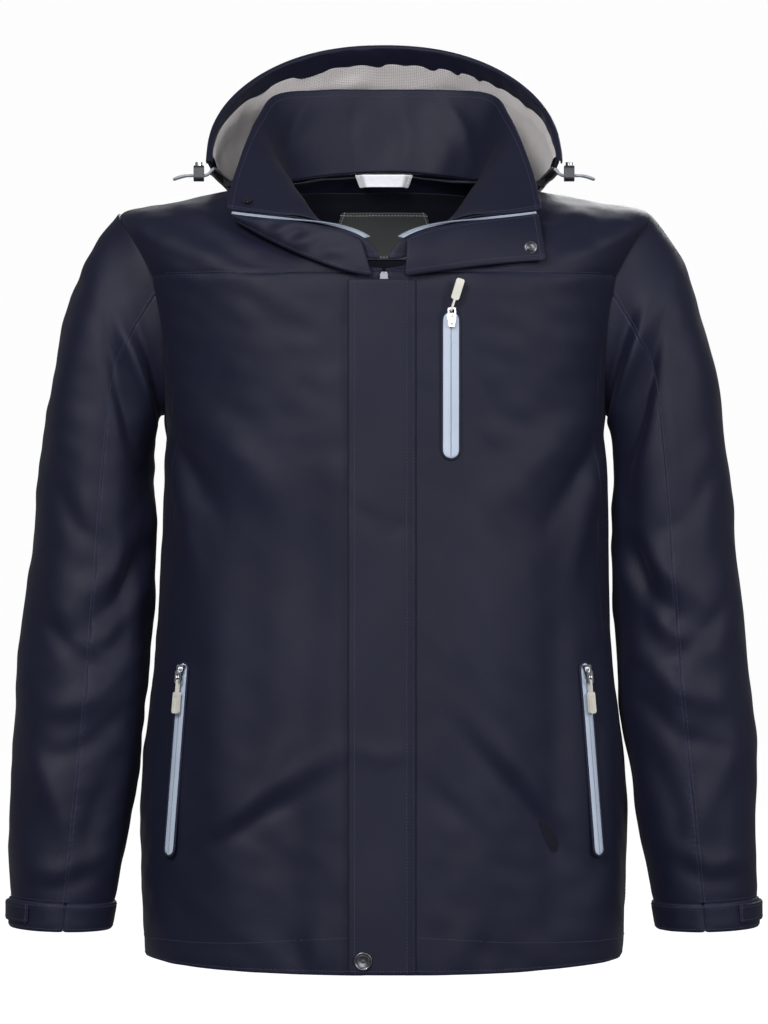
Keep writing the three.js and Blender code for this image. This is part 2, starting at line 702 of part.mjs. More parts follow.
// ================================================================ main zip slider and its stops
const frontUp = vec(0, (frontDepth - neckFront) / (bodyLength - neckFrontDrop), 1).normalize();
const frontOut = vec(0, -1, frontUp.y).normalize();
const mainHead = seat(onFront(0, zipHead), frontUp, frontOut, 'main_zip_frame');
const mainFrom = tapeSet + 0.4;
const mainTop = mainFrom + 3.9;
const mainHalf = mainSliderWidth / 2;
const mainPullLength = 31;
const mainSlider = plate(rounded(-mainHalf, -mainSliderLength, mainHalf, -1, 2), mainFrom, mainTop);
const mainPull = rounded(-3, -3 - mainPullLength, 3, -3, 2);
add('main_zip_slider', joined(mainSlider, plate(mainPull, mainTop - 0.5, mainTop + 1.2)), steel(), mainHead);
const zipLength = (zipHead - zipFoot) / frontUp.z;
add(
  'main_zip_box',
  plate(rounded(-4, -zipLength + 3, 4, -zipLength + 14, 1), mainFrom, mainFrom + 3),
  steel(),
  mainHead,
);

// ================================================================ snaps
function snapCap(radius) {
  const profile = [[0, 0], [radius, 0], [radius, 0.9], [radius - 0.9, 1.7], [radius - 2, 1.7],
    [radius - 2.6, 0.9], [0, 0.9]].map(([r, h]) => new THREE.Vector2(r, h));
  return new THREE.LatheGeometry(profile, 20).rotateX(Math.PI);
}

function snapStud(radius, height) {
  const neck = 0.42 * radius;
  const profile = [[0, 0], [radius, 0], [radius, 0.8], [0.5 * radius, 0.8], [neck, height], [0, height]];
  return new THREE.LatheGeometry(profile.map(([r, h]) => new THREE.Vector2(r, h)), 16).rotateX(Math.PI);
}

const hemSnap = [-flapFree + snapInset, -bodyLength + snapInset];
const upNear = vec(0, 0, 1);
function seatOnFront(x, z, offset) {
  return seat(onFront(x, z, offset), upNear, bodyNormal(...frontPlace(x, z)));
}
add('hem_snap_cap', snapCap(snapRadius), darkMetal(), seatOnFront(...hemSnap, flapLift + cloth + 0.4));
add('hem_snap_stud', snapStud(0.6 * snapRadius, 2.6), darkMetal(), seatOnFront(...hemSnap, 0.3));

const lapelOut = normalOf(lapelSurface, 0.9, 0.75).multiplyScalar(lapelSign);
const lapelSpot = lapelSurface(0.9, 0.75).addScaledVector(lapelOut, cloth + 0.4);
add('collar_snap_cap', snapCap(lapelSnapRadius), darkMetal(), seat(lapelSpot, upNear, lapelOut));
const studIn = normalOf(collarSurface, 0.94, 0.86).multiplyScalar(-outSign);
const studSpot = collarSurface(0.94, 0.86).addScaledVector(studIn, -facingNear + liningCloth + 0.6);
add('collar_snap_stud', snapStud(0.7 * lapelSnapRadius, 2), darkMetal(), seat(studSpot, upNear, studIn));

// ================================================================ labels
const insideBack = neckBack - cloth - 0.6 - liningCloth - 1.2;
const loopEnd = insideBack + 1.4;
const bridge = new THREE.Shape();
const halfLoop = loopWidth / 2;
const loopThick = 1.6;
bridge.moveTo(-halfLoop, loopEnd);
bridge.lineTo(-halfLoop + 8, insideBack - loopStand);
bridge.lineTo(halfLoop - 8, insideBack - loopStand);
bridge.lineTo(halfLoop, loopEnd);
bridge.lineTo(halfLoop, loopEnd - loopThick);
bridge.lineTo(halfLoop - 8, insideBack - loopStand - loopThick);
bridge.lineTo(-halfLoop + 8, insideBack - loopStand - loopThick);
bridge.lineTo(-halfLoop, loopEnd - loopThick);
bridge.closePath();
const loopGeometry = new THREE.ExtrudeGeometry(bridge, { depth: loopHeight, bevelEnabled: false });
add('hanger_loop', loopGeometry.translate(0, 0, -loopHeight / 2), finish(0xc8c8cc, 0.7));

const labelAngle = Math.asin((labelWidth / 2 / halfChest) ** 1.2);
const labelNear = -liningSet - liningCloth - 2.2;
const labelPlace = (s, t) => {
  const theta = Math.PI + mix(-labelAngle, labelAngle, s);
  return [theta, ringAtHeight(theta, mix(-22 - labelHeight, -22, t))];
};
add('neck_label', layer(bodySurface, labelPlace, 6, 3, labelNear, labelNear - 0.8), finish(0x2f302e, 0.8));

// ================================================================ hood
// The hood lies back as a pouch. u runs across it from -1 (wearer's right) to 1, t from the face
// opening (0) over the back, round the fold that hangs behind and up to the neck seam (1).
function station(half, back, height, cornerY, cornerZ, keep) {
  return { half, back, height, cornerY, cornerZ, keep };
}
const hoodStations = [
  station(hoodHalfWidth, hoodApexBack, hoodApex, -24, 8, 0.91),
  station(hoodHalfWidth - 3, hoodFoldBack - 24, 76, -14, 7, 1),
  station(hoodHalfWidth - 14, hoodFoldBack, -36, -6, 5, 1.2),
  station(hoodHalfWidth - 24, hoodFoldBack - 20, -hoodFoldDrop, -8, 2, 1.4),
];
const firstUnder = hoodStations.length;
const underStations = [[topRing - 4.6, 20], [topRing - 2.8, 14]];
const seamStation = firstUnder + underStations.length;

const seatLift = 1.0; // from the yoke to the hood's outer face where it is sewn on
function hoodSeat(u) {
  const theta = Math.PI - u * (quarter + 0.12);
  const v = mix(topRing - 0.2, topRing - 1.25, u * u);
  return bodySurface(theta, v).addScaledVector(bodyNormal(theta, v), seatLift);
}

// The layer of the hood that lies on the back follows the yoke below it.
function onBack(u, ringBelow, lift) {
  const v = mix(ringBelow, topRing - 1.25, u * u);
  const free = (hoodHalfWidth - 26) * Math.abs(Math.sin(u * quarter)) ** 0.91;
  const width = mix(free, hoodSeat(1).x, Math.abs(u) ** 6);
  const share = Math.min(0.999, width / ringValue('half', v));
  const theta = Math.PI - Math.sign(u) * Math.asin(share ** (ringValue('square', v) / 2));
  return bodySurface(theta, v).addScaledVector(bodyNormal(theta, v), lift);
}

function hoodStationPoint(k, u) {
  if (k >= seamStation) return hoodSeat(u);
  const under = underStations[k - firstUnder];
  if (under) return onBack(u, ...under);
  const { half, back, height, cornerY, cornerZ, keep } = hoodStations[k];
  const sine = Math.abs(Math.sin(u * quarter));
  const share = Math.abs(Math.cos(u * quarter)) ** keep;
  const corner = Math.abs(u) ** 6;
  const x = Math.sign(u) * mix(half * sine ** 0.91, hoodHalfWidth - k * 2, corner);
  const free = vec(x, mix(cornerY, back, share), mix(cornerZ, height, share));
  return k === firstUnder - 1 ? free.lerp(onBack(u, topRing - 4.6, 36), Math.abs(u)) : free;
}

function hoodSurface(u, t) {
  const points = [];
  for (let k = 0; k <= seamStation; k += 1) points.push(hoodStationPoint(k, u).toArray());
  return throughPoints(points, t * seamStation);
}

// The hood turns about a line through its front corners. Near the neck a skirt stays on the yoke.
const hoodTurn = 70 * Math.PI / 180; // how far the hood turns forward
const collarRoom = 5;
const hoodGap = 0.004;

// Whether a point of the hood clears the collar at every step of its turn forward.
function clearsCollar(point) {
  const reach = Math.hypot(point.y - hoodAxisY, point.z - hoodAxisZ);
  const start = Math.atan2(point.z - hoodAxisZ, point.y - hoodAxisY);
  for (let k = 0; k <= 14; k += 1) {
    const turn = start + hoodTurn * k / 14;
    const y = hoodAxisY + reach * Math.cos(turn);
    const z = hoodAxisZ + reach * Math.sin(turn);
    const behind = clamp(y / (neckBack + 5 + collarRoom));
    const rim = neckBackRise + collarBackHeight - 0.5 * (neckBack - y) + collarRoom;
    const wall = (collarHalfSpread + collarRoom) * Math.sqrt(1 - behind * behind) + 0.18 * Math.max(0, -y);
    if (behind < 1 && z < rim && Math.abs(point.x) < wall) return false;
  }
  return true;
}

function skirtTop(u) {
  for (let t = 1; t > 0.5; t -= 0.005) {
    if (clearsCollar(hoodSurface(u, t))) return t - 2 * hoodGap;
  }
  return 0.5;
}

const centreShare = (t) => mix(0.071, 0.19, Math.sin(Math.PI * t));
const hoodSign = Math.sign(normalOf(hoodSurface, 0.01, 0.35).y);
const hoodLayer = (place, columns, rows, near, far) =>
  layer(hoodSurface, place, columns, rows, hoodSign * near, hoodSign * far);
const hoodFoot = (u) => Math.min(0.985, skirtTop(u) - 6 * hoodGap);
const acrossHood = (side, s, t) => side * mix(centreShare(t) + hoodGap / 2, 0.985, s);
for (const [side, name] of [[-1, 'right'], [1, 'left']]) {
  const place = (s, t) => {
    const u = acrossHood(side, s, t);
    return [u, t * hoodFoot(u)];
  };
  add(`hood_side_${name}`, hoodLayer(place, 8, 12, 0, -cloth), navy());
}
const centrePlace = (s, t) => {
  const u = mix(-1, 1, s) * (centreShare(t) - hoodGap / 2);
  return [u, t * hoodFoot(u)];
};
add('hood_centre', hoodLayer(centrePlace, 4, 12, 0, -cloth), navy());

const hoodInside = -cloth - 2.6;
const insideReach = 0.56; // half of the lining's share across the hood
const insidePlace = (s, t) => [mix(-insideReach, insideReach, s), mix(0.004, 0.33, t)];
add('hood_lining', hoodLayer(insidePlace, 16, 6, hoodInside, hoodInside - liningCloth), paleMesh());
const skirtReach = 0.8;
const skirtPlace = (s, t) => {
  const u = mix(-skirtReach, skirtReach, s);
  return [u, mix(skirtTop(u) + hoodGap, 1, t)];
};
add('hood_skirt', hoodLayer(skirtPlace, 16, 3, 0, -cloth / 2), navy());

// ---------------------------------------------------------------- drawcord ends and cord locks
// Half a loop of cord: out of the hood, through the lock, and round its end.
const cordHalfLoop = [
  [169.5, 2.8, 6.2],
  [174.5, 2.8, 1],
  [179, 2.4, -1],
  [183, 2.4, -1],
  [195, 2.4, -1],
  [200, 4.6, -1.6],
  [205, 5.2, -3],
  [208.6, 2.8, -4.4],
];
const strandRoom = 0.5;
for (const [side, name] of [[-1, 'right'], [1, 'left']]) {
  const back = cordHalfLoop.map(([x, y, z]) => vec(side * x, hoodAxisY + y, z));
  const front = cordHalfLoop.map(([x, y, z]) => vec(side * x, hoodAxisY - y, z)).reverse();
  const route = new THREE.CatmullRomCurve3([...back, ...front]);
  const section = new THREE.Shape();
  for (let k = 0; k < 8; k += 1) {
    const turn = 2 * Math.PI * k / 8;
    const corner = [cordRadius * Math.cos(turn), cordRadius * Math.sin(turn)];
    if (k === 0) section.moveTo(...corner);
    else section.lineTo(...corner);
  }
  const cord = new THREE.ExtrudeGeometry(section, { steps: 18, bevelEnabled: false, extrudePath: route });
  add(`hood_cord_${name}`, cord, finish(0x9a9da6, 0.8));

  const halfSlot = 2.4 + cordRadius + strandRoom;
  const body = rounded(-6.5, -lockHalf, 9, lockHalf, 4);
  framed(body, -1 - cordRadius - strandRoom, -halfSlot, -1 + cordRadius + strandRoom, halfSlot, 1.6);
  const bore = new THREE.CylinderGeometry(plungerRadius + 0.35, plungerRadius + 0.35, 9, 20);
  bore.rotateX(quarter).translate(0, 0, 6.4);
  const lock = new THREE.Group();
  lock.name = `cord_lock_frame_${name}`;
  lock.position.set(side * (lockStart + lockLength / 2), hoodAxisY, 0);
  part.add(lock);
  add(`cord_lock_${name}`, cutBy(standing(body, lockLength), bore), finish(0x23252b, 0.5), lock);
  const plunger = new THREE.CylinderGeometry(plungerRadius, plungerRadius, 7.6, 20);
  add(`cord_lock_button_${name}`, plunger.rotateX(quarter).translate(0, 0, 8.6), steel(), lock);
}

// The hanger loop's middle is the origin of the whole jacket.
part.position.y = -(insideBack - loopStand - loopThick / 2);

export default part;
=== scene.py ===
# %% [markdown]
# # A foul weather jacket
# A sailing jacket is a shell of coated cloth, cut in flat panels and sewn into a body, two sleeves, a
# collar and a hood. It could be modelled as one lump and sculpted. Here each panel is a grid of points
# on a shape worked out from the pattern's own sizes, as a pattern cutter would draft it, so that seams,
# stitches and zips can be laid along the very edges that a machinist would sew.

# %% Load the frame
import math

import bpy
import numpy as np
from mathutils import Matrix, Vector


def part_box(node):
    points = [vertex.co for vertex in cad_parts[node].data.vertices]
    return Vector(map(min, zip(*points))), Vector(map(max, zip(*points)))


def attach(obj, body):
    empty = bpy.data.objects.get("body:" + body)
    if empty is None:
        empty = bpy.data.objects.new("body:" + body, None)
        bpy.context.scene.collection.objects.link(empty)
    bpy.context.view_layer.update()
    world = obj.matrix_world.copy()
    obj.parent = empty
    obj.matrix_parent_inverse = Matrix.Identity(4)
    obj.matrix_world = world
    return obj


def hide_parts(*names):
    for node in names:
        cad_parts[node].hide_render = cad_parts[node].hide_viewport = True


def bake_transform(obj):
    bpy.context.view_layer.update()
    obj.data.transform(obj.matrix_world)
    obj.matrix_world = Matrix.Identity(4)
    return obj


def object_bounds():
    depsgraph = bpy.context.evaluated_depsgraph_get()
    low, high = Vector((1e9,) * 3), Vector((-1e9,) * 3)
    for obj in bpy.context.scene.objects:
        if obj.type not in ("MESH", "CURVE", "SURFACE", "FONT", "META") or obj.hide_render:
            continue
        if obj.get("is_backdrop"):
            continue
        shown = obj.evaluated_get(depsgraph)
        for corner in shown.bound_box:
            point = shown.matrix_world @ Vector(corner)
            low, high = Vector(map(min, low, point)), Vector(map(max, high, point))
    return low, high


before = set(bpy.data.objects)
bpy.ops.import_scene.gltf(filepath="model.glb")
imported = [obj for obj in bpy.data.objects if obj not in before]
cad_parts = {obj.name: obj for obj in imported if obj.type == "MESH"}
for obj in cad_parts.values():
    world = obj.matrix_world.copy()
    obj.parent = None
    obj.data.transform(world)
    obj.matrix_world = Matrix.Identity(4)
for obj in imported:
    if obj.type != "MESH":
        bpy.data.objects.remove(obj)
cad_low, cad_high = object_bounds()
MM = 0.001

# %% [markdown]
# ## The camera first
# The jacket hangs level with a camera that stands well back, because a long lens keeps the sleeves and
# the collar in the proportions that the eye expects of clothing. The lens is worked out from the height
# that the frame has to take in at that distance.

# %% Camera
CAMERA_BACK = 4.0
FRAME_HEIGHT = 1.024
FRAME_CENTRE = -0.336
BODY_AXIS_Y = -0.0595
SENSOR = 36.0
camera_data = bpy.data.cameras.new("camera")
camera_data.sensor_fit = "VERTICAL"
camera_data.sensor_height = SENSOR
camera_data.lens = SENSOR * CAMERA_BACK / FRAME_HEIGHT
camera_data.clip_end = 50
camera = bpy.data.objects.new("camera", camera_data)
camera.location = (0, BODY_AXIS_Y - CAMERA_BACK, FRAME_CENTRE)
camera.rotation_euler = (math.pi / 2, 0, 0)
bpy.context.scene.collection.objects.link(camera)
bpy.context.scene.camera = camera
print("lens", round(camera_data.lens, 1), "mm")

# %% [markdown]
# ## Floor and light
# Dark cloth shows its folds only where a soft light grazes it. One large lamp stands high at the front,
# one on the side, a weak one fills from the front and one lights the back. A white sweep runs all round,
# and only the camera sees it, so that it doesn't wash the dark cloth out.

# %% Studio
FLOOR = -1.02


def new_object(name, vertices, faces, smooth=True):
    mesh = bpy.data.meshes.new(name)
    mesh.from_pydata([tuple(v) for v in vertices], [], faces)
    mesh.validate()
    mesh.update()
    if smooth:
        mesh.shade_smooth()
    obj = bpy.data.objects.new(name, mesh)
    bpy.context.scene.collection.objects.link(obj)
    return obj


def lamp(name, place, size, power):
    data = bpy.data.lights.new(name, "AREA")
    data.shape = "RECTANGLE"
    data.size, data.size_y = size
    data.energy = power
    obj = bpy.data.objects.new(name, data)
    obj.location = place
    aim = np.array([0, 0, -0.35]) - np.array(place)
    yaw = math.atan2(aim[1], aim[0])
    drop = math.atan2(math.hypot(aim[0], aim[1]), -aim[2])
    obj.rotation_euler = (drop, 0, yaw - math.pi / 2)
    bpy.context.scene.collection.objects.link(obj)


WALL = 9.0
FILLET = 2.5
profile = [(0.0, FLOOR), (2.0, FLOOR)]
for turn in np.linspace(0, math.pi / 2, 16):
    profile.append((WALL - FILLET + FILLET * math.sin(turn), FLOOR + FILLET - FILLET * math.cos(turn)))
profile.append((WALL, 8.0))
AROUND = 96
sweep_points = []
for radius, height in profile:
    for k in range(AROUND):
        turn = 2 * math.pi * k / AROUND
        sweep_points.append((radius * math.cos(turn), radius * math.sin(turn), height))
sweep_faces = []
for row in range(len(profile) - 1):
    for k in range(AROUND):
        here, beside = row * AROUND + k, row * AROUND + (k + 1) % AROUND
        sweep_faces.append((here, beside, beside + AROUND, here + AROUND))
floor = new_object("studio_sweep", sweep_points, sweep_faces)
floor.visible_glossy = False
floor.visible_diffuse = False
floor.visible_shadow = False
floor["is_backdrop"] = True
pale = bpy.data.materials.new("studio_paper")
pale.use_nodes = True
paper = pale.node_tree.nodes["Principled BSDF"]
paper.inputs["Base Color"].default_value = (0.05, 0.05, 0.05, 1)
paper.inputs["Roughness"].default_value = 0.9
paper.inputs["Emission Color"].default_value = (1, 1, 1, 1)
paper.inputs["Emission Strength"].default_value = 0.96
floor.data.materials.append(pale)
lamp("key_light", (-1.5, -3.4, 1.9), (1.3, 1.3), 150)
lamp("side_light", (2.6, -2.4, 0.9), (0.8, 1.6), 70)
lamp("front_light", (0.2, -4.4, 0.2), (1.6, 1.6), 60)
lamp("back_light", (0.8, 3.6, 1.8), (2.4, 1.6), 130)
world = bpy.data.worlds.new("studio")
world.use_nodes = True
world.node_tree.nodes["Background"].inputs["Color"].default_value = (1, 1, 1, 1)
world.node_tree.nodes["Background"].inputs["Strength"].default_value = 0.2
bpy.context.scene.world = world
bpy.context.scene.view_settings.view_transform = "Standard"

# %% [markdown]
# ## Writing materials as sums
# A finish is a sum of small effects: the weave, a slow change of colour, the worn edge. Wiring them by
# hand hides the idea, so a socket is wrapped in a class that understands plus, minus and times, and
# every other node comes from one method.

# %% A board of shader nodes


class Wire:
    """One output socket that can be used in a sum."""

    def __init__(self, board, socket):
        self.board, self.socket = board, socket

    def __add__(self, other):
        return self.board.maths("ADD", self, other)

    def __radd__(self, other):
        return self.board.maths("ADD", other, self)

    def __sub__(self, other):
        return self.board.maths("SUBTRACT", self, other)

    def __rsub__(self, other):
        return self.board.maths("SUBTRACT", other, self)

    def __mul__(self, other):
        return self.board.maths("MULTIPLY", self, other)

    def __rmul__(self, other):
        return self.board.maths("MULTIPLY", other, self)

    def __truediv__(self, other):
        return self.board.maths("DIVIDE", self, other)

    def __pow__(self, other):
        return self.board.maths("POWER", self, other)


class Board:
    """The node tree of one material."""

    def __init__(self, name):
        self.material = bpy.data.materials.new(name)
        self.material.use_nodes = True
        self.nodes = self.material.node_tree.nodes
        self.links = self.material.node_tree.links
        self.shader = self.nodes["Principled BSDF"]

    def plug(self, socket, value):
        if isinstance(value, Wire):
            self.links.new(value.socket, socket)
        elif value is not None:
            socket.default_value = value

    def node(self, kind, settings=None, inputs=None, output=0):
        made = self.nodes.new(kind)
        for name, value in (settings or {}).items():
            if name == "stops":
                ramp = made.color_ramp
                while len(ramp.elements) < len(value):
                    ramp.elements.new(0.5)
                for element, (place, colour) in zip(ramp.elements, value):
                    element.position = place
                    element.color = colour
            else:
                setattr(made, name, value)
        for name, value in (inputs or {}).items():
            self.plug(made.inputs[name], value)
        return Wire(self, made.outputs[output])

    def maths(self, operation, a, b=None):
        return self.node("ShaderNodeMath", {"operation": operation}, {0: a, 1: b})

    def set(self, **values):
        for name, value in values.items():
            self.plug(self.shader.inputs[name.replace("_", " ")], value)

    def mix(self, share, a, b):
        made = self.nodes.new("ShaderNodeMix")
        made.data_type = "RGBA"
        self.plug(made.inputs["Factor"], share)
        self.plug(made.inputs["A"], a)
        self.plug(made.inputs["B"], b)
        return Wire(self, made.outputs["Result"])

    def bump(self, height, strength, distance, below=None):
        inputs = {"Height": height, "Strength": strength, "Distance": distance, "Normal": below}
        return self.node("ShaderNodeBump", {}, inputs)

    def noise(self, place, scale, detail=3.0, rough=0.5):
        inputs = {"Vector": place, "Scale": scale, "Detail": detail, "Roughness": rough}
        return self.node("ShaderNodeTexNoise", {}, inputs)


def rgb(red, green, blue):
    """A colour given as a paint chart gives it, in 0 to 255, as the shader's linear values."""
    linear = [((c / 255 + 0.055) / 1.055) ** 2.4 if c > 10 else c / 255 / 12.92 for c in (red, green, blue)]
    return (*linear, 1.0)


print("a navy chip in linear light:", [round(c, 4) for c in rgb(30, 33, 50)])

# %% [markdown]
# ## Coated cloth
# The shell is a fine plain-weave nylon with a thin matt coating. Threads cross every third of a
# millimetre, so the weave is two sine waves along the panel's own length and width, far too fine to
# model. Small handling creases and a seam's pucker are larger, and the coating dulls where it creases.

# %% Cloth finishes
FULL_TURN = 2 * math.pi


def weave_height(board, threads_per_mm):
    """Over-and-under threads along the panel's own two directions."""
    place = board.node("ShaderNodeUVMap", {"uv_map": "cloth"})
    split = board.nodes.new("ShaderNodeSeparateXYZ")
    board.links.new(place.socket, split.inputs[0])
    turns = FULL_TURN * threads_per_mm / MM / 2
    warp = board.maths("SINE", Wire(board, split.outputs["X"]) * turns)
    weft = board.maths("SINE", Wire(board, split.outputs["Y"]) * turns)
    return warp * weft, place


def cloth_finish(name, colour, deep, rough=0.5, threads=2.6, sheen=0.02, crease=0.6, gloss=0.16):
    board = Board(name)
    weave, place = weave_height(board, threads)
    thing = board.node("ShaderNodeTexCoord", {}, {}, "Object")
    broad = board.noise(thing, 7.0, 2.0)
    fine = board.noise(thing, 62.0, 5.0, 0.6)
    seam = board.node("ShaderNodeAttribute", {"attribute_name": "seam"}, {}, "Fac")
    near = board.maths("EXPONENT", seam * -180.0)
    pucker = board.noise(place, 190.0, 2.0) * near
    worn = board.maths("EXPONENT", seam * -900.0)
    tone = board.mix(broad, deep, colour)
    speckle = board.mix(fine * 0.35, tone, colour)
    pale = tuple(min(1.0, c * 1.7 + 0.004) for c in colour[:3]) + (1.0,)
    board.set(Base_Color=board.mix(worn * 0.35 + 0.0, speckle, pale))
    board.set(Roughness=rough - 0.06 + 0.12 * fine + 0.05 * broad)
    board.set(Sheen_Weight=sheen, Sheen_Roughness=0.45, Specular_IOR_Level=gloss)
    creases = board.bump(fine * 0.6 + broad * 1.0, 0.18 * crease, 0.004)
    puckers = board.bump(pucker, 0.55, 0.0016, creases)
    board.set(Normal=board.bump(weave, 0.22, 0.00012, puckers))
    return board.material


NAVY = rgb(20, 22, 40)
NAVY_DEEP = rgb(15, 17, 32)
shell_cloth = cloth_finish("shell_cloth", NAVY, NAVY_DEEP)
lining_cloth = cloth_finish("lining_cloth", rgb(18, 19, 30), rgb(12, 13, 22), 0.7, 3.0, 0.03, 0.8, 0.1)
loop_tape = cloth_finish("loop_tape", rgb(205, 205, 212), rgb(190, 190, 198), 0.75, 1.4, 0.1, 0.5, 0.3)
label_cloth = cloth_finish("label_cloth", rgb(62, 63, 64), rgb(50, 51, 52), 0.8, 1.6, 0.1, 0.5, 0.2)
print("cloth finishes:", shell_cloth.name, lining_cloth.name, loop_tape.name, label_cloth.name)

# %% [markdown]
# ## Zips, metal, plastic, mesh and cord
# A water-resistant zip is a tape under a smooth polyurethane film, so it is half gloss with a faint
# ribbing where the coil lies beneath. Metal is bright where hands rub it. Moulded pullers carry a fine
# spark-eroded grain. The hood's lining is an open knit, drawn as small round holes in a height map.

# %% Hard finishes


def grained(name, colour, rough, grain, metallic=0.0, scale=900.0, coat=0.0):
    board = Board(name)
    thing = board.node("ShaderNodeTexCoord", {}, {}, "Object")
    fine = board.noise(thing, scale, 2.0)
    broad = board.noise(thing, 90.0, 3.0)
    dark = tuple(c * 0.72 for c in colour[:3]) + (1.0,)
    board.set(Base_Color=board.mix(broad, dark, colour), Metallic=metallic)
    board.set(Roughness=rough + 0.16 * broad - 0.08, Coat_Weight=coat, Coat_Roughness=0.2)
    board.set(Normal=board.bump(fine, grain, 0.0003))
    return board.material


def zip_film(name):
    board = Board(name)
    place = board.node("ShaderNodeUVMap", {"uv_map": "cloth"})
    split = board.nodes.new("ShaderNodeSeparateXYZ")
    board.links.new(place.socket, split.inputs[0])
    across, along = Wire(board, split.outputs["X"]), Wire(board, split.outputs["Y"])
    thing = board.node("ShaderNodeTexCoord", {}, {}, "Object")
    broad = board.noise(thing, 40.0, 3.0)
    ribs = board.maths("SINE", along * (FULL_TURN / (1.3 * MM)))
    middle = board.maths("EXPONENT", board.maths("MULTIPLY", across * across, -1 / (1.6 * MM) ** 2))
    parting = board.maths("EXPONENT", board.maths("MULTIPLY", across * across, -1 / (0.28 * MM) ** 2))
    colour = board.mix(broad, rgb(146, 157, 174), rgb(160, 171, 188))
    board.set(Base_Color=board.mix(parting * 0.75, colour, rgb(88, 96, 112)))
    board.set(Roughness=0.36 + 0.14 * broad, Sheen_Weight=0.1)
    low = board.bump(ribs * middle, 0.5, 0.00022)
    board.set(Normal=board.bump(1.0 - parting, 0.9, 0.0006, low))
    return board.material


def open_mesh(name):
    board = Board(name)
    place = board.node("ShaderNodeUVMap", {"uv_map": "cloth"})
    spacing = {"Vector": place, "Scale": 520.0, "Randomness": 0.15}
    cells = board.node("ShaderNodeTexVoronoi", {"feature": "F1"}, spacing)
    thing = board.node("ShaderNodeTexCoord", {}, {}, "Object")
    broad = board.noise(thing, 14.0, 3.0)
    stops = [(0.18, (0, 0, 0, 1)), (0.36, (1, 1, 1, 1))]
    hole = board.node("ShaderNodeValToRGB", {"stops": stops}, {"Fac": cells})
    yarn = board.mix(broad, rgb(188, 182, 183), rgb(208, 203, 203))
    board.set(Base_Color=board.mix(hole, rgb(120, 114, 116), yarn))
    board.set(Roughness=0.82 - 0.06 * broad, Sheen_Weight=0.4, Sheen_Roughness=0.5)
    board.set(Normal=board.bump(hole, 0.7, 0.0005))
    return board.material


coated_zip = zip_film("coated_zip")
mesh_lining = open_mesh("mesh_lining")
bright_metal = grained("bright_metal", rgb(214, 216, 220), 0.24, 0.06, 1.0, 500.0)
snap_metal = grained("snap_metal", rgb(92, 92, 98), 0.3, 0.08, 1.0, 500.0)
puller_moulding = grained("puller_moulding", rgb(196, 194, 186), 0.48, 0.25)
lock_moulding = grained("lock_moulding", rgb(34, 36, 44), 0.4, 0.2)
cord_yarn = grained("cord_yarn", rgb(150, 153, 162), 0.8, 0.5, scale=1600.0)
thread = grained("thread", rgb(46, 50, 72), 0.6, 0.6, scale=2400.0)
pale_thread = grained("pale_thread", rgb(176, 176, 178), 0.6, 0.6, scale=2400.0)
print("hard finishes ready")

# %% [markdown]
# ## The pattern's curves
# The body is drafted as thirteen ovals from hem to neck. A smooth curve through their sizes gives a
# surface that has an angle round the body and a ring number up it. These are the same curves as the
# model's own, so that every panel here lies where the model's panel does.

# %% Curves through stations
QUARTER = math.pi / 2


def mix(a, b, t):
    return a + (b - a) * t


def through(values, place):
    """A smooth curve through values that belong to the stations 0, 1, 2 ..."""
    values = np.asarray(values, dtype=float)
    place = np.asarray(place, dtype=float)
    last = len(values) - 1
    i = np.clip(np.floor(place).astype(int), 0, last - 1)
    t = place - i
    if values.ndim > 1:
        t = t[..., None]
        first = (i > 0)[..., None]
        final = (i + 2 <= last)[..., None]
    else:
        first, final = i > 0, i + 2 <= last
    b, c = values[i], values[i + 1]
    a = np.where(first, values[np.maximum(i - 1, 0)], 2 * b - c)
    d = np.where(final, values[np.minimum(i + 2, last)], 2 * c - b)
    bend = 2 * a - 5 * b + 4 * c - d + t * (3 * b - a - 3 * c + d)
    return b + 0.5 * t * (c - a + t * bend)


def point(x, y, z):
    x, y, z = np.broadcast_arrays(np.asarray(x, float), np.asarray(y, float), np.asarray(z, float))
    return np.stack([x, y, z], axis=-1)


def unit(v):
    return v / np.maximum(np.linalg.norm(v, axis=-1, keepdims=True), 1e-12)


def normal_of(surface, u, v, step=1e-3):
    along = surface(u + step, v) - surface(u - step, v)
    up = surface(u, v + step) - surface(u, v - step)
    return unit(np.cross(along, up))


# %% [markdown]
# ## Body sizes
# All sizes below are in millimetres from the hanger loop and the body's middle, as a tailor's chart
# would list them. A panel is turned into metres only when it is finished.

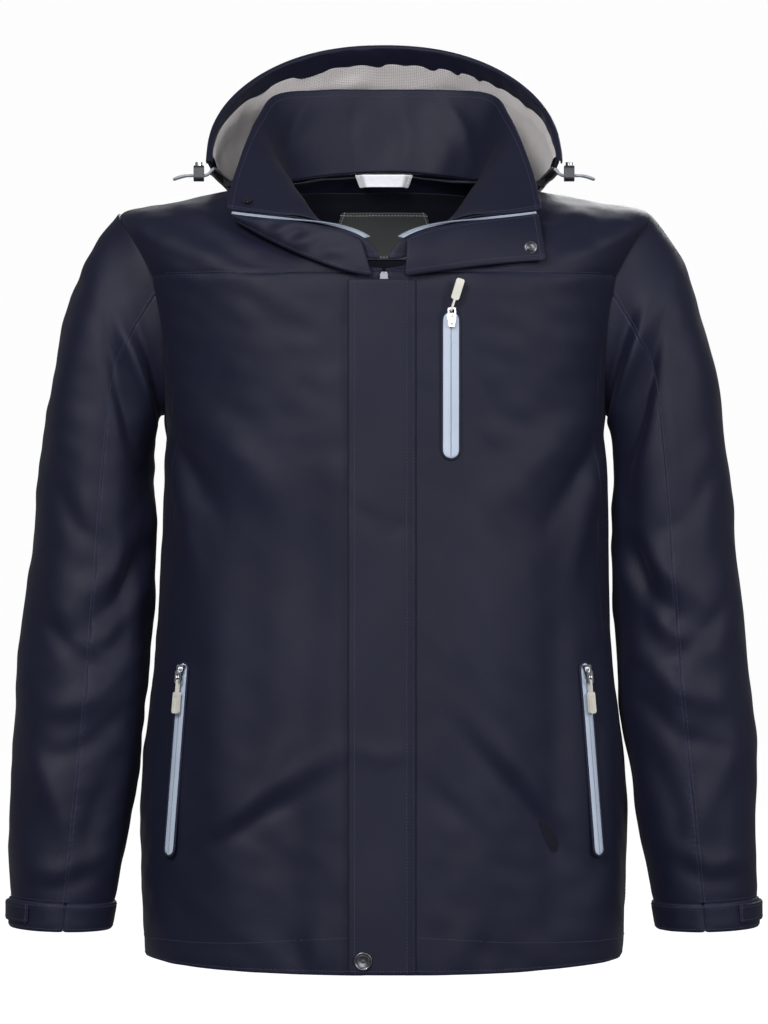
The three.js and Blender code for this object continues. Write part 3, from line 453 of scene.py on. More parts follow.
# %% Body surface
BODY_LENGTH, UNDERARM, YOKE, SHOULDER = 782, 240, 104, 37
HALF_CHEST, HALF_WAIST, HALF_HIP, HALF_HEM, HALF_SHOULDER, HALF_NECK = 222, 228, 242, 239, 264, 98
FRONT_DEPTH, BACK_DEPTH, NECK_FRONT, NECK_BACK, NECK_DROP, NECK_RISE = 150, 134, 140, 73, 101, 8
WAIST = UNDERARM + 230
HIP = WAIST + 130
WIDE = HALF_CHEST + 22
RING_NAMES = ("side", "front", "back", "half", "deep", "square")
RINGS = [
    (-BODY_LENGTH + 7, -BODY_LENGTH, -BODY_LENGTH, HALF_HEM, BACK_DEPTH + 6, 2.4),
    (-HIP - 90, -HIP - 90, -HIP - 90, HALF_HIP + 1, BACK_DEPTH + 6, 2.4),
    (-HIP, -HIP, -HIP, HALF_HIP, BACK_DEPTH + 4, 2.4),
    (-WAIST, -WAIST, -WAIST, HALF_WAIST, BACK_DEPTH, 2.4),
    (-UNDERARM - 70, -UNDERARM - 70, -UNDERARM - 70, HALF_CHEST, BACK_DEPTH, 2.4),
    (-UNDERARM, -UNDERARM - 10, -UNDERARM, HALF_CHEST - 2, BACK_DEPTH - 2, 2.4),
    (-150, -196, -140, HALF_CHEST + 10, BACK_DEPTH - 4, 2.4),
    (-96, -160, -82, WIDE, BACK_DEPTH - 9, 2.3),
    (-62, -136, -42, mix(WIDE, HALF_SHOULDER, 0.7), BACK_DEPTH - 20, 2.2),
    (-SHOULDER, -121, -18, HALF_SHOULDER, BACK_DEPTH - 36, 2.0),
    (-26, -112, -5, mix(HALF_SHOULDER, HALF_NECK, 0.35), BACK_DEPTH - 47, 2.0),
    (-14, -105, 3, mix(HALF_SHOULDER, HALF_NECK, 0.7), NECK_BACK + 7, 2.0),
    (-6, -NECK_DROP, NECK_RISE, HALF_NECK, NECK_BACK, 2.0),
]
TOP_RING = len(RINGS) - 1
COLUMNS = dict(zip(RING_NAMES, np.array(RINGS, dtype=float).T))


def ring(name, v):
    return through(COLUMNS[name], v)


def body(theta, v):
    """theta is 0 at the centre front, a quarter turn at the wearer's left side, half a turn behind."""
    theta, v = np.broadcast_arrays(np.asarray(theta, float), np.asarray(v, float))
    power = 2 / ring("square", v)
    sine, cosine = np.sin(theta), np.cos(theta)
    across = np.sign(sine) * np.abs(sine) ** power
    deep = np.abs(cosine) ** power
    front, side, back = ring("front", v), ring("side", v), ring("back", v)
    z = mix(side, np.where(cosine > 0, front, back), cosine ** 2)
    front_deep = mix(NECK_FRONT, FRONT_DEPTH, (-front - NECK_DROP) / (BODY_LENGTH - NECK_DROP))
    y = np.where(cosine > 0, -front_deep * deep, ring("deep", v) * deep)
    return point(ring("half", v) * across, y, z)


def body_normal(theta, v):
    return normal_of(body, theta, v)


def ring_at(theta, z):
    """The ring number at which the surface reaches a height."""
    theta, z = np.broadcast_arrays(np.asarray(theta, float), np.asarray(z, float))
    low = np.full(theta.shape, -0.2)
    high = np.full(theta.shape, TOP_RING + 0.2)
    for _ in range(24):
        middle = (low + high) / 2
        below = body(theta, middle)[..., 2] < z
        low = np.where(below, middle, low)
        high = np.where(below, high, middle)
    return (low + high) / 2


def front_place(x, z):
    """The surface coordinates of a place on the front."""
    x, z = np.broadcast_arrays(np.asarray(x, float), np.asarray(z, float))
    low, high = np.zeros(x.shape), np.full(x.shape, QUARTER)
    for _ in range(20):
        middle = (low + high) / 2
        short = body(middle, ring_at(middle, z))[..., 0] < np.abs(x)
        low = np.where(short, middle, low)
        high = np.where(short, high, middle)
    theta = np.sign(x) * (low + high) / 2
    return theta, ring_at(theta, z)


def on_front(x, z, lift=0.0):
    theta, v = front_place(x, z)
    return body(theta, v) + body_normal(theta, v) * np.asarray(lift, float)[..., None]


FRAME_SHIFT = np.array([0, -59.5, 0])


def to_frame(p):
    """Millimetres from the body's middle to metres in the frame."""
    return (np.asarray(p) + FRAME_SHIFT) * MM


chest_height = to_frame(body(0, 5))
print("chest front stands at", np.round(chest_height, 3))

# %% [markdown]
# ## A sewn panel
# A flat panel could be a plane with a thickness modifier. Here it is a grid of points in the middle of
# the cloth, turned into an outer face, an inner face and a rounded edge in one go, because the same
# grid then tells the sewing machine where to run, and carries the weave's own coordinates and the
# distance to the nearest seam.

# %% Sheet of cloth
PLY = 2.0  # shell, membrane and lining of one panel, in millimetres


def running_length(points, axis):
    steps = np.linalg.norm(np.diff(points, axis=axis), axis=-1)
    total = np.cumsum(steps, axis=axis)
    start = np.zeros_like(np.take(total, [0], axis=axis))
    return np.concatenate([start, total], axis=axis)


class Sheet:
    """Rows go up the panel and columns across it. Points are in millimetres, in the middle of the cloth."""

    def __init__(self, points, outside, ply=PLY, sewn="lrft"):
        self.points = np.array(points, dtype=float)
        self.ply, self.sewn, self.outside = ply, sewn, outside
        self.refresh()

    def refresh(self):
        self.across = running_length(self.points, 1)
        self.up = running_length(self.points, 0)
        raw = np.cross(np.gradient(self.points, axis=1), np.gradient(self.points, axis=0))
        raw = unit(raw)
        self.sign = 1 if np.sum(raw * self.outside) > 0 else -1
        self.normals = raw * self.sign

    def edge_distance(self):
        from_right = self.across[:, -1:] - self.across
        from_top = self.up[-1:] - self.up
        ends = {"l": self.across, "r": from_right, "f": self.up, "t": from_top}
        far = [ends[e] for e in self.sewn] or [np.full(self.across.shape, 99.0)]
        return np.minimum.reduce(far)

    def pull_in_seams(self, depth=1.2, reach=3.5):
        """Cloth dips where a seam holds it."""
        dip = depth * np.exp(-(self.edge_distance() / reach) ** 2)
        self.points = self.points - self.normals * dip[..., None]
        self.refresh()
        return self

    def spot(self, s, t, lift=0.0):
        """Points on the outer face, s across and t up, both 0 to 1."""
        rows, columns = self.points.shape[:2]
        x = np.clip(np.asarray(s, float), 0, 1) * (columns - 1)
        y = np.clip(np.asarray(t, float), 0, 1) * (rows - 1)
        i = np.minimum(x.astype(int), columns - 2)
        j = np.minimum(y.astype(int), rows - 2)
        fx, fy = (x - i)[..., None], (y - j)[..., None]
        raised = self.points + self.normals * (self.ply / 2 + lift)
        low = mix(raised[j, i], raised[j, i + 1], fx)
        high = mix(raised[j + 1, i], raised[j + 1, i + 1], fx)
        return mix(low, high, fy)

    def along_edge(self, edge, inset, lift=0.05, start=0.0, end=1.0):
        """A line that keeps its distance from an edge, as a presser foot does."""
        run = np.linspace(start, end, 240)
        columns, rows = self.across.shape[1] - 1, self.up.shape[0] - 1
        if edge in "lr":
            length = np.interp(run * rows, np.arange(rows + 1), self.across[:, -1])
            share = inset / length
            return self.spot(share if edge == "l" else 1 - share, run, lift)
        length = np.interp(run * columns, np.arange(columns + 1), self.up[-1])
        share = inset / length
        return self.spot(run, share if edge == "f" else 1 - share, lift)

    def solid(self, name, finish, smooth_levels=1):
        rows, columns = self.points.shape[:2]
        count = rows * columns
        at = np.arange(count).reshape(rows, columns)
        rim = np.concatenate([at[0], at[1:, -1], at[-1, -2::-1], at[-2:0:-1, 0]])
        flat, normals = self.points.reshape(-1, 3), self.normals.reshape(-1, 3)
        before, after = np.roll(rim, 1), np.roll(rim, -1)
        run = unit(flat[after] - flat[before])
        bulge = unit(np.cross(run, normals[rim])) * self.sign
        outer = flat + normals * self.ply / 2
        inner = flat - normals * self.ply / 2
        middle = flat[rim] + bulge * self.ply * 0.45
        vertices = to_frame(np.concatenate([outer, inner, middle]))
        quads = np.stack([at[:-1, :-1], at[:-1, 1:], at[1:, 1:], at[1:, :-1]], axis=-1).reshape(-1, 4)
        steps = np.arange(len(rim))
        next_step = np.roll(steps, -1)
        mid, mid_next = 2 * count + steps, 2 * count + next_step
        top_lip = np.stack([rim[next_step], rim, mid, mid_next], axis=-1)
        low_lip = np.stack([mid_next, mid, rim + count, rim[next_step] + count], axis=-1)
        faces = np.concatenate([quads, quads[:, ::-1] + count, top_lip, low_lip])
        if self.sign < 0:
            faces = faces[:, ::-1]
        obj = new_object(name, vertices, faces.tolist())
        u = np.broadcast_to(self.across[rows // 2], (rows, columns)).reshape(-1)
        v = np.broadcast_to(self.up[:, columns // 2][:, None], (rows, columns)).reshape(-1)
        u = np.concatenate([u, u, u[rim]]) * MM
        v = np.concatenate([v, v, v[rim]]) * MM
        u = u - np.mean(u)
        uv_layer = obj.data.uv_layers.new(name="cloth")
        loop_vertex = np.zeros(len(obj.data.loops), dtype=np.int32)
        obj.data.loops.foreach_get("vertex_index", loop_vertex)
        uv_layer.data.foreach_set("uv", np.stack([u[loop_vertex], v[loop_vertex]], axis=-1).reshape(-1))
        far = self.edge_distance().reshape(-1) * MM
        seam = obj.data.attributes.new("seam", "FLOAT", "POINT")
        seam.data.foreach_set("value", np.concatenate([far, far, far[rim]]).astype(np.float32))
        obj.data.materials.append(finish)
        if smooth_levels:
            smoothing = obj.modifiers.new("smooth", "SUBSURF")
            smoothing.levels = smoothing.render_levels = smooth_levels
        return obj


def place_piece(obj, body_name, slot_name, *nodes):
    """Attach a piece to the body it moves with and hide the model nodes it stands for. slot_name is not used.
    """
    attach(obj, body_name)
    if nodes:
        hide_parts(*nodes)
    return obj


# %% [markdown]
# ## Folds
# Hanging cloth falls in soft ridges from where it is held, and creases where it is squeezed. Each main
# fold is a stroke drawn on the cloth: a few points, a height and a width. A slow ripple from a handful
# of waves keeps the rest from looking ironed.

# %% Strokes and ripples


def stroke(x, z, route, height, width):
    """The height of one fold at each place, fading out at both ends."""
    route = np.array(route, dtype=float)
    best = np.full(x.shape, 1e9)
    share = np.zeros(x.shape)
    legs = np.linalg.norm(np.diff(route, axis=0), axis=1)
    begun = np.concatenate([[0], np.cumsum(legs)])
    for k, leg in enumerate(legs):
        a, b = route[k], route[k + 1]
        t = ((x - a[0]) * (b[0] - a[0]) + (z - a[1]) * (b[1] - a[1])) / leg ** 2
        t = np.clip(t, 0, 1)
        away = np.hypot(x - mix(a[0], b[0], t), z - mix(a[1], b[1], t))
        nearer = away < best
        best = np.where(nearer, away, best)
        share = np.where(nearer, (begun[k] + t * leg) / begun[-1], share)
    tapered = np.sqrt(np.clip(np.sin(np.pi * np.clip(share, 0.02, 0.98)), 0, 1))
    return height * np.exp(-(best / width) ** 2) * tapered


def ripple(p, size, seed, waves=9):
    """Slow waves in all directions, about one unit high."""
    draw = np.random.default_rng(seed)
    total = np.zeros(p.shape[:-1])
    for _ in range(waves):
        way = unit(draw.normal(size=3))
        length = size * draw.uniform(0.7, 1.6)
        total += np.sin(FULL_TURN * (p @ way) / length + draw.uniform(0, FULL_TURN))
    return total / math.sqrt(waves)


FOLD_GAIN = 1.55  # how much deeper worn cloth falls than the drafted strokes
FRONT_FOLDS = [
    ([(-38, -583), (-108, -620), (-176, -668)], -3.6, 8),
    ([(-34, -568), (-104, -603), (-170, -650)], 3.4, 11),
    ([(-84, -552), (-118, -590), (-148, -640)], 2.6, 15),
    ([(78, -552), (128, -610), (178, -668)], -3.2, 8),
    ([(90, -545), (142, -598), (190, -650)], 3.0, 12),
    ([(40, -596), (72, -630)], -2.4, 8),
    ([(-205, -34), (-165, -60), (-122, -90)], 3.4, 10),
    ([(-188, -50), (-150, -78), (-116, -104)], -2.6, 9),
    ([(-138, -44), (-80, -86)], -2.6, 8),
    ([(204, -38), (160, -68), (122, -96)], 3.2, 10),
    ([(132, -46), (84, -84)], -2.4, 8),
    ([(-214, -215), (-160, -262), (-92, -330)], 3.2, 20),
    ([(-220, -246), (-186, -300), (-150, -352)], -3.4, 9),
    ([(-214, -268), (-196, -330), (-178, -400)], 3.0, 10),
    ([(214, -225), (158, -280), (90, -340)], 3.0, 20),
    ([(220, -250), (188, -306), (152, -356)], -3.2, 9),
    ([(214, -272), (198, -336), (182, -402)], 3.0, 10),
    ([(-150, -300), (-162, -500), (-152, -765)], 3.6, 26),
    ([(-70, -330), (-78, -560), (-98, -770)], -3.0, 22),
    ([(-205, -420), (-214, -560), (-200, -740)], -3.2, 15),
    ([(96, -350), (106, -560), (92, -770)], 3.2, 26),
    ([(164, -330), (172, -560), (168, -765)], -3.2, 20),
    ([(210, -430), (216, -560), (206, -745)], 3.0, 14),
    ([(-60, -735), (-66, -778)], 2.2, 9),
    ([(-84, -742), (-88, -778)], -2.0, 8),
    ([(72, -738), (76, -778)], 2.2, 9),
    ([(96, -742), (100, -778)], -2.0, 8),
]
BACK_FOLDS = [
    ([(-150, -120), (-120, -300), (-130, -760)], 4.0, 26),
    ([(-60, -130), (-52, -400), (-64, -770)], -3.4, 24),
    ([(10, -120), (16, -420), (6, -770)], 3.6, 24),
    ([(84, -130), (92, -420), (78, -765)], -3.6, 22),
    ([(150, -120), (132, -320), (146, -760)], 4.0, 26),
    ([(-215, -240), (-160, -330), (-70, -400)], 3.6, 14),
    ([(-220, -262), (-170, -362), (-90, -440)], -3.4, 10),
    ([(215, -245), (158, -340), (64, -410)], 3.6, 14),
    ([(220, -268), (172, -372), (88, -452)], -3.4, 10),
    ([(-170, -560), (-60, -600), (40, -580)], -2.8, 12),
    ([(170, -520), (80, -566), (-20, -560)], 2.8, 14),
    ([(-200, -60), (-120, -96), (-60, -112)], 3.0, 12),
    ([(200, -62), (124, -98), (62, -112)], 3.0, 12),
]


ZIP_LINES = [((64.5, -143), (64.5, -284)), ((-195, -484), (-207, -671)), ((195, -484), (207, -671))]


def steadied(x, z):
    """Zips and the front edge hold the cloth flat: 0 where it is held, 1 where it is free."""
    free = 1 - 0.8 * np.exp(-(x / 36) ** 4)
    for top, low in ZIP_LINES:
        t = np.clip((z - top[1]) / (low[1] - top[1]), -0.04, 1.04)
        away = np.hypot(x - mix(top[0], low[0], t), z - mix(top[1], low[1], t))
        free = free * (1 - np.exp(-(away / 19) ** 2))
    return free


def fall_of_cloth(p):
    """How far the shell stands in or out of its drafted surface."""
    x, y, z = p[..., 0], p[..., 1], p[..., 2]
    in_front = 1 / (1 + np.exp(y / 12))
    held = 1 - in_front * (1 - steadied(x, z))
    total = sum(in_front * stroke(x, z, *fold) for fold in FRONT_FOLDS)
    total = total + sum((1 - in_front) * stroke(x, z, *fold) for fold in BACK_FOLDS)
    slow = 1.7 * ripple(p * np.array([1, 1, 0.4]), 84, 11) + 0.45 * ripple(p, 30, 12)
    return held * (FOLD_GAIN * total + slow)


print(len(FRONT_FOLDS) + len(BACK_FOLDS), "folds drawn on the body")

# %% [markdown]
# ## Sewing with Geometry Nodes
# There are thousands of stitches. Placing each by hand would be slow to change, so a small node tree
# walks along every seam line, drops one stitch per step, and turns them all into one mesh. The stitch
# is a stretched little ball with a few dozen faces.

# %% Stitch tree


def stitch_tree(finish):
    tree = bpy.data.node_groups.new("stitch_line", "GeometryNodeTree")
    sizes = {"Step": 0.0032, "Stitch Length": 0.0024, "Thread Radius": 0.00034}
    tree.interface.new_socket("Geometry", in_out="INPUT", socket_type="NodeSocketGeometry")
    for name in sizes:
        tree.interface.new_socket(name, in_out="INPUT", socket_type="NodeSocketFloat")
    tree.interface.new_socket("Geometry", in_out="OUTPUT", socket_type="NodeSocketGeometry")
    made = {}

    def node(label, kind, settings=None, **links):
        made[label] = tree.nodes.new(kind)
        for name, value in (settings or {}).items():
            setattr(made[label], name, value)
        for name, value in links.items():
            socket = made[label].inputs[name.replace("_", " ")]
            if isinstance(value, tuple):
                tree.links.new(made[value[0]].outputs[value[1]], socket)
            else:
                socket.default_value = value
        return made[label]

    node("in", "NodeGroupInput")
    node("curve", "GeometryNodeMeshToCurve", Mesh=("in", "Geometry"))
    node("points", "GeometryNodeCurveToPoints", {"mode": "LENGTH"}, Curve=("curve", 0), Length=("in", "Step"))
    ball = node("ball", "GeometryNodeMeshUVSphere", Segments=6, Rings=4)
    ball.inputs["Radius"].default_value = 1.0
    half = node("half", "ShaderNodeMath", {"operation": "MULTIPLY"})
    tree.links.new(made["in"].outputs["Stitch Length"], half.inputs[0])
    half.inputs[1].default_value = 0.5
    node("size", "ShaderNodeCombineXYZ", X=("in", "Thread Radius"), Y=("in", "Thread Radius"), Z=("half", 0))
    node("copies", "GeometryNodeInstanceOnPoints", Points=("points", "Points"), Instance=("ball", 0),
         Rotation=("points", "Rotation"), Scale=("size", 0))
    node("whole", "GeometryNodeRealizeInstances", Geometry=("copies", 0))
    node("finish", "GeometryNodeSetMaterial", Geometry=("whole", 0), Material=finish)
    node("out", "NodeGroupOutput", Geometry=("finish", 0))
    return tree, sizes


STITCH_TREES = {finish.name: stitch_tree(finish) for finish in (thread, pale_thread, coated_zip)}


def sew(name, lines, finish=thread, **wanted):
    """Turn seam lines, in millimetres, into one mesh of stitches."""
    vertices, edges = [], []
    for line in lines:
        start = len(vertices)
        vertices.extend(to_frame(line).tolist())
        edges.extend((start + k, start + k + 1) for k in range(len(line) - 1))
    guide = bpy.data.meshes.new(name + "_guide")
    guide.from_pydata(vertices, edges, [])
    holder = bpy.data.objects.new(name + "_guide", guide)
    bpy.context.scene.collection.objects.link(holder)
    tree, sizes = STITCH_TREES[finish.name]
    modifier = holder.modifiers.new("stitches", "NODES")
    modifier.node_group = tree
    values = {**sizes, **{k.replace("_", " ").title(): v for k, v in wanted.items()}}
    for item in tree.interface.items_tree:
        if item.in_out == "INPUT" and item.name in values:
            modifier[item.identifier] = values[item.name]
    bpy.context.view_layer.update()
    seen = holder.evaluated_get(bpy.context.evaluated_depsgraph_get())
    mesh = bpy.data.meshes.new_from_object(seen)
    mesh.name = name
    obj = bpy.data.objects.new(name, mesh)
    bpy.context.scene.collection.objects.link(obj)
    bpy.data.objects.remove(holder)
    mesh.shade_smooth()
    print(name, len(mesh.polygons), "faces")
    return obj

# %% [markdown]
# ## Body panels
# The shell is drafted in one piece so that a fold can cross a seam, as it does on a worn jacket. Then
# it is cut along the yoke line, the side seams and the armholes. Columns crowd round the armhole in
# step with the sleeve's own columns, so both meet along one line.

# %% Draft the shell
SIDES = (("right", -1), ("left", 1))
FRONT_EDGE = 6.6
ARMHOLE_REACH = math.radians(22)
FRONT_COLUMNS, ARM_COLUMNS, BACK_COLUMNS = 36, 24, 34
BODY_ROWS, YOKE_ROWS = 92, 26
front_angle = math.asin(FRONT_EDGE / HALF_SHOULDER)
arm_steps = np.arange(1, ARM_COLUMNS) / ARM_COLUMNS
half_round = np.concatenate([
    np.linspace(front_angle, QUARTER - ARMHOLE_REACH, FRONT_COLUMNS + 1),
    QUARTER - ARMHOLE_REACH * np.cos(np.pi * arm_steps),
    np.linspace(QUARTER + ARMHOLE_REACH, np.pi, BACK_COLUMNS + 1),
])
round_body = np.concatenate([-half_round, half_round[-2::-1]])  # wearer's right front, back, left front


def arch(theta, peak):
    share = np.clip(np.abs(np.abs(theta) - QUARTER) / ARMHOLE_REACH, 0, 1)
    return mix(-YOKE, peak, np.sqrt(1 - share ** 2))


def panel_grid(theta, foot, top, rows):
    low = ring_at(theta, foot)
    high = np.full(theta.shape, TOP_RING - 0.02) if top is None else ring_at(theta, top)
    share = np.linspace(0, 1, rows + 1)[:, None]
    return np.broadcast_to(theta, (rows + 1, len(theta))), mix(low, high, share)


def drafted(theta, v, lift):
    p = body(theta, v)
    n = body_normal(theta, v)
    return p + n * (lift + fall_of_cloth(p))[..., None]


hem_height = body(round_body, 0 * round_body)[..., 2]
body_place = panel_grid(round_body, hem_height, arch(round_body, -UNDERARM), BODY_ROWS)
yoke_place = panel_grid(round_body, arch(round_body, -SHOULDER), None, YOKE_ROWS)
SHELL_LIFT = -PLY / 2
body_points = drafted(*body_place, SHELL_LIFT)
yoke_points = drafted(*yoke_place, SHELL_LIFT)
print("drafted", body_points.shape, yoke_points.shape)

# %% Cut and place the panels
side_column = FRONT_COLUMNS + ARM_COLUMNS // 2
last = len(round_body) - 1
CUTS = {"front_right": (0, side_column), "front_left": (last - side_column, last),
        "back": (side_column, last - side_column)}


def away_from_axis(points):
    return points * np.array([1, 1, 0])


panels = {}
for part_name, (first, final) in CUTS.items():
    for height, grid in (("panel", body_points), ("yoke", yoke_points)):
        cut = grid[:, first:final + 1]
        sheet = Sheet(cut, away_from_axis(cut)).pull_in_seams()
        side = part_name.replace("front_", "") if "front" in part_name else ""
        node = f"front_{height}_{side}" if side else f"back_{height}"
        panels[node] = sheet
        place_piece(sheet.solid(node + "_cloth", shell_cloth), "jacket", "shell_cloth", node)
print("panels:", ", ".join(panels))

# %% [markdown]
# ## Sleeves
# A sleeve is a tube with its own stations: an outer edge, an inner edge and a depth at each. It begins
# on the armhole's own curve and leaves it within a hand's breadth, which gives the soft roll at the
# shoulder. The seams run down the front and back of the arm, where the real under sleeve is set in.

# %% Sleeve surface
SLEEVE_LENGTH, SLEEVE_OUT, SLEEVE_DEPTH, CUFF_DEPTH, CUFF_WIDTH, CUFF_HEIGHT = 745, 371, 70, 55, 100, 27
ELBOW_OUT = mix(HALF_SHOULDER, SLEEVE_OUT, 0.9)


def inner_edge(drop):
    return HALF_WAIST + 2.5 + max(0, drop - WAIST) * 0.09


SLEEVE = np.array([
    (HALF_SHOULDER + 1, -SHOULDER, HALF_CHEST + 5, -UNDERARM + 2, 60, 0),
    (297, -82, HALF_CHEST + 7, -UNDERARM - 18, 67, 0),
    (321, -155, HALF_CHEST + 7, -UNDERARM - 48, SLEEVE_DEPTH, -2),
    (339, -262, HALF_WAIST + 1, -UNDERARM - 110, SLEEVE_DEPTH, -6),
    (ELBOW_OUT - 6, -390, HALF_WAIST + 3, -445, SLEEVE_DEPTH - 2, -12),
    (ELBOW_OUT + 5, -505, inner_edge(535), -535, SLEEVE_DEPTH - 5, -20),
    (SLEEVE_OUT - 1, -620, inner_edge(560) + 12, -632, SLEEVE_DEPTH - 9, -26),
    (SLEEVE_OUT, -SLEEVE_LENGTH, SLEEVE_OUT - CUFF_WIDTH, -SLEEVE_LENGTH - 3, CUFF_DEPTH, -30),
], dtype=float)
CUFF_STATION = len(SLEEVE) - 1
CUFF_TOP = CUFF_STATION - CUFF_HEIGHT / (SLEEVE_LENGTH - 620)
RIM_CLEAR = 0.8
TUCK_SHARE, TUCK_UNDER, TUCK_IN = 0.03, 2.4, 4.0


def sleeve(side, phi, v):
    """phi is 0 on the outer side, a quarter turn in front and half a turn inside."""
    phi, v = np.broadcast_arrays(np.asarray(phi, float), np.asarray(v, float))
    s = through(SLEEVE, v)
    along = (1 + np.cos(phi)) / 2
    x = side * mix(s[..., 2], s[..., 0], along)
    z = mix(s[..., 3], s[..., 1], along)
    free = point(x, s[..., 5] - s[..., 4] * np.sin(phi), z)
    theta = side * (QUARTER - np.sin(phi) * ARMHOLE_REACH)
    reach = np.abs(np.cos(phi))
    height = np.where(np.cos(phi) > 0, mix(-YOKE, -SHOULDER, reach), mix(-YOKE, -UNDERARM, reach))
    rim = body(theta, ring_at(theta, height)) + np.array([side * RIM_CLEAR, 0, 0])
    tucked = np.clip(-v / TUCK_SHARE, 0, 1)[..., None]
    tuck = TUCK_UNDER * body_normal(theta, ring_at(theta, height)) + np.array([side * TUCK_IN, 0, 0])
    rim = rim - tucked * tuck
    blend = (np.clip(1 - v, 0, 1) ** 2)[..., None]
    return mix(free, rim, blend)


SLEEVE_GAIN = 1.25
SLEEVE_FOLDS = [
    ([(-258, -150), (-240, -210), (-218, -296)], 8.0, 7),
    ([(-272, -160), (-256, -225), (-232, -318)], -7.0, 8),
    ([(-246, -140), (-226, -196), (-214, -258)], -5.0, 6),
    ([(-236, -300), (-246, -380), (-262, -470)], -6.0, 10),
    ([(-224, -290), (-230, -360), (-242, -430)], 4.0, 7),
    ([(-300, -140), (-322, -230), (-330, -330)], 2.6, 14),
    ([(-228, -330), (-262, -392), (-318, -440)], 4.2, 10),
    ([(-226, -356), (-258, -420), (-300, -468)], -4.2, 8),
    ([(-232, -398), (-266, -450), (-330, -486)], 3.4, 9),
    ([(-330, -300), (-300, -352), (-262, -372)], -3.0, 10),
    ([(-346, -420), (-310, -470), (-262, -500)], -3.0, 9),
    ([(-240, -470), (-290, -520), (-348, -536)], 3.6, 11),
    ([(-244, -520), (-290, -566), (-340, -580)], -3.0, 9),
    ([(-352, -560), (-320, -620), (-290, -690)], 3.0, 12),
    ([(-262, -580), (-286, -640), (-300, -705)], -2.8, 10),
    ([(-276, -668), (-320, -690), (-362, -684)], 2.6, 8),
    ([(-280, -690), (-320, -706), (-360, -704)], -2.2, 6),
]


def sleeve_fall(p, side, seed):
    x, y, z = -np.abs(p[..., 0]), p[..., 1], p[..., 2]
    in_front = 1 / (1 + np.exp((y + 10) / 10))
    wander = 9 * (side > 0)
    strokes = sum(stroke(x, z - wander, *fold) for fold in SLEEVE_FOLDS)
    behind = sum(stroke(x, z + 26, *fold) for fold in SLEEVE_FOLDS[3:])
    total = in_front * strokes + (1 - in_front) * behind
    slow = 1.5 * ripple(p * np.array([1, 1, 0.6]), 66, seed) + 0.45 * ripple(p, 26, seed + 1)
    return SLEEVE_GAIN * total + slow


# %% Cut the sleeves and cuffs


def out_of_arm(p, side):
    """From the middle of the arm to each point."""
    down = np.clip(-p[..., 2] / SLEEVE_LENGTH, 0, 1)
    return p - point(side * mix(240, 320, down), -14, p[..., 2])


UNDER_STEP = 13
PHI_STEPS = 2 * ARM_COLUMNS
SLEEVE_ROWS = 104
under_seam = UNDER_STEP * FULL_TURN / PHI_STEPS
sleeves = {}
for name, side in SIDES:
    step = FULL_TURN / PHI_STEPS
    halves = (("upper", -UNDER_STEP, UNDER_STEP), ("under", UNDER_STEP, PHI_STEPS - UNDER_STEP))
    for piece, first, final in halves:
        phi = np.arange(first, final + 1)[None, :] * step
        v = np.concatenate([[-TUCK_SHARE], np.linspace(0.0, CUFF_TOP, SLEEVE_ROWS)])[:, None]
        p = sleeve(side, phi, v)
        draft = Sheet(p, out_of_arm(p, side))
        settle_in = 1 - np.exp(-(np.broadcast_to(v, p.shape[:2]) / 0.35) ** 2)
        at_cuff = 1 - np.exp(-((CUFF_TOP - np.broadcast_to(v, p.shape[:2])) / 0.12) ** 2)
        lift = SHELL_LIFT + settle_in * at_cuff * sleeve_fall(p, side, 21 + side)
        p = p + draft.normals * lift[..., None]
        sheet = Sheet(p, out_of_arm(p, side)).pull_in_seams()
        node = f"sleeve_{piece}_{name}"
        sleeves[node] = sheet
        place_piece(sheet.solid(node + "_cloth", shell_cloth), "jacket", "shell_cloth", node)
    phi = np.linspace(under_seam + 0.01, under_seam + FULL_TURN - 0.01, 73)[None, :]
    v = np.linspace(CUFF_TOP, CUFF_STATION, 11)[:, None]
    p = sleeve(side, phi, v)
    draft = Sheet(p, out_of_arm(p, side))
    p = p + draft.normals * (0.45 + 0.2 * ripple(p, 22, 31 + side))[..., None]
    cuff = Sheet(p, out_of_arm(p, side), 3.2).pull_in_seams(0.9, 2.6)
    sleeves[f"cuff_{name}"] = cuff
    place_piece(cuff.solid(f"cuff_{name}_cloth", shell_cloth), "jacket", "shell_cloth", f"cuff_{name}")
    span = CUFF_STATION - CUFF_TOP
    middle, half_tab = CUFF_TOP + 0.42 * span, 0.5 * span * 17 / CUFF_HEIGHT
    phi = np.linspace(-0.75, 1.0, 40)[None, :]
    pointed = 1 - 0.35 * np.clip((-0.55 - phi) / 0.2, 0, 1)
    v = middle + half_tab * np.linspace(-1, 1, 9)[:, None] * pointed
    p = sleeve(side, phi, v)
    draft = Sheet(p, out_of_arm(p, side))
    p = p + draft.normals * 3.6
    tab = Sheet(p, out_of_arm(p, side), 2.2, "l" if side < 0 else "r").pull_in_seams(0.6, 3)
    sleeves[f"cuff_tab_{name}"] = tab
    tab_name = f"cuff_tab_{name}"
    place_piece(tab.solid(f"{tab_name}_cloth", shell_cloth), tab_name, "shell_cloth", tab_name)
print("sleeves:", ", ".join(sleeves))

# %% [markdown]
# ## Collar
# The collar is two layers that turn over at the top. It could be two separate sheets, but then the top
# edge would show a slot. Rolling one sheet over the edge gives the rounded rim of a turned collar, and
# the inner face goes down to the neck seam.

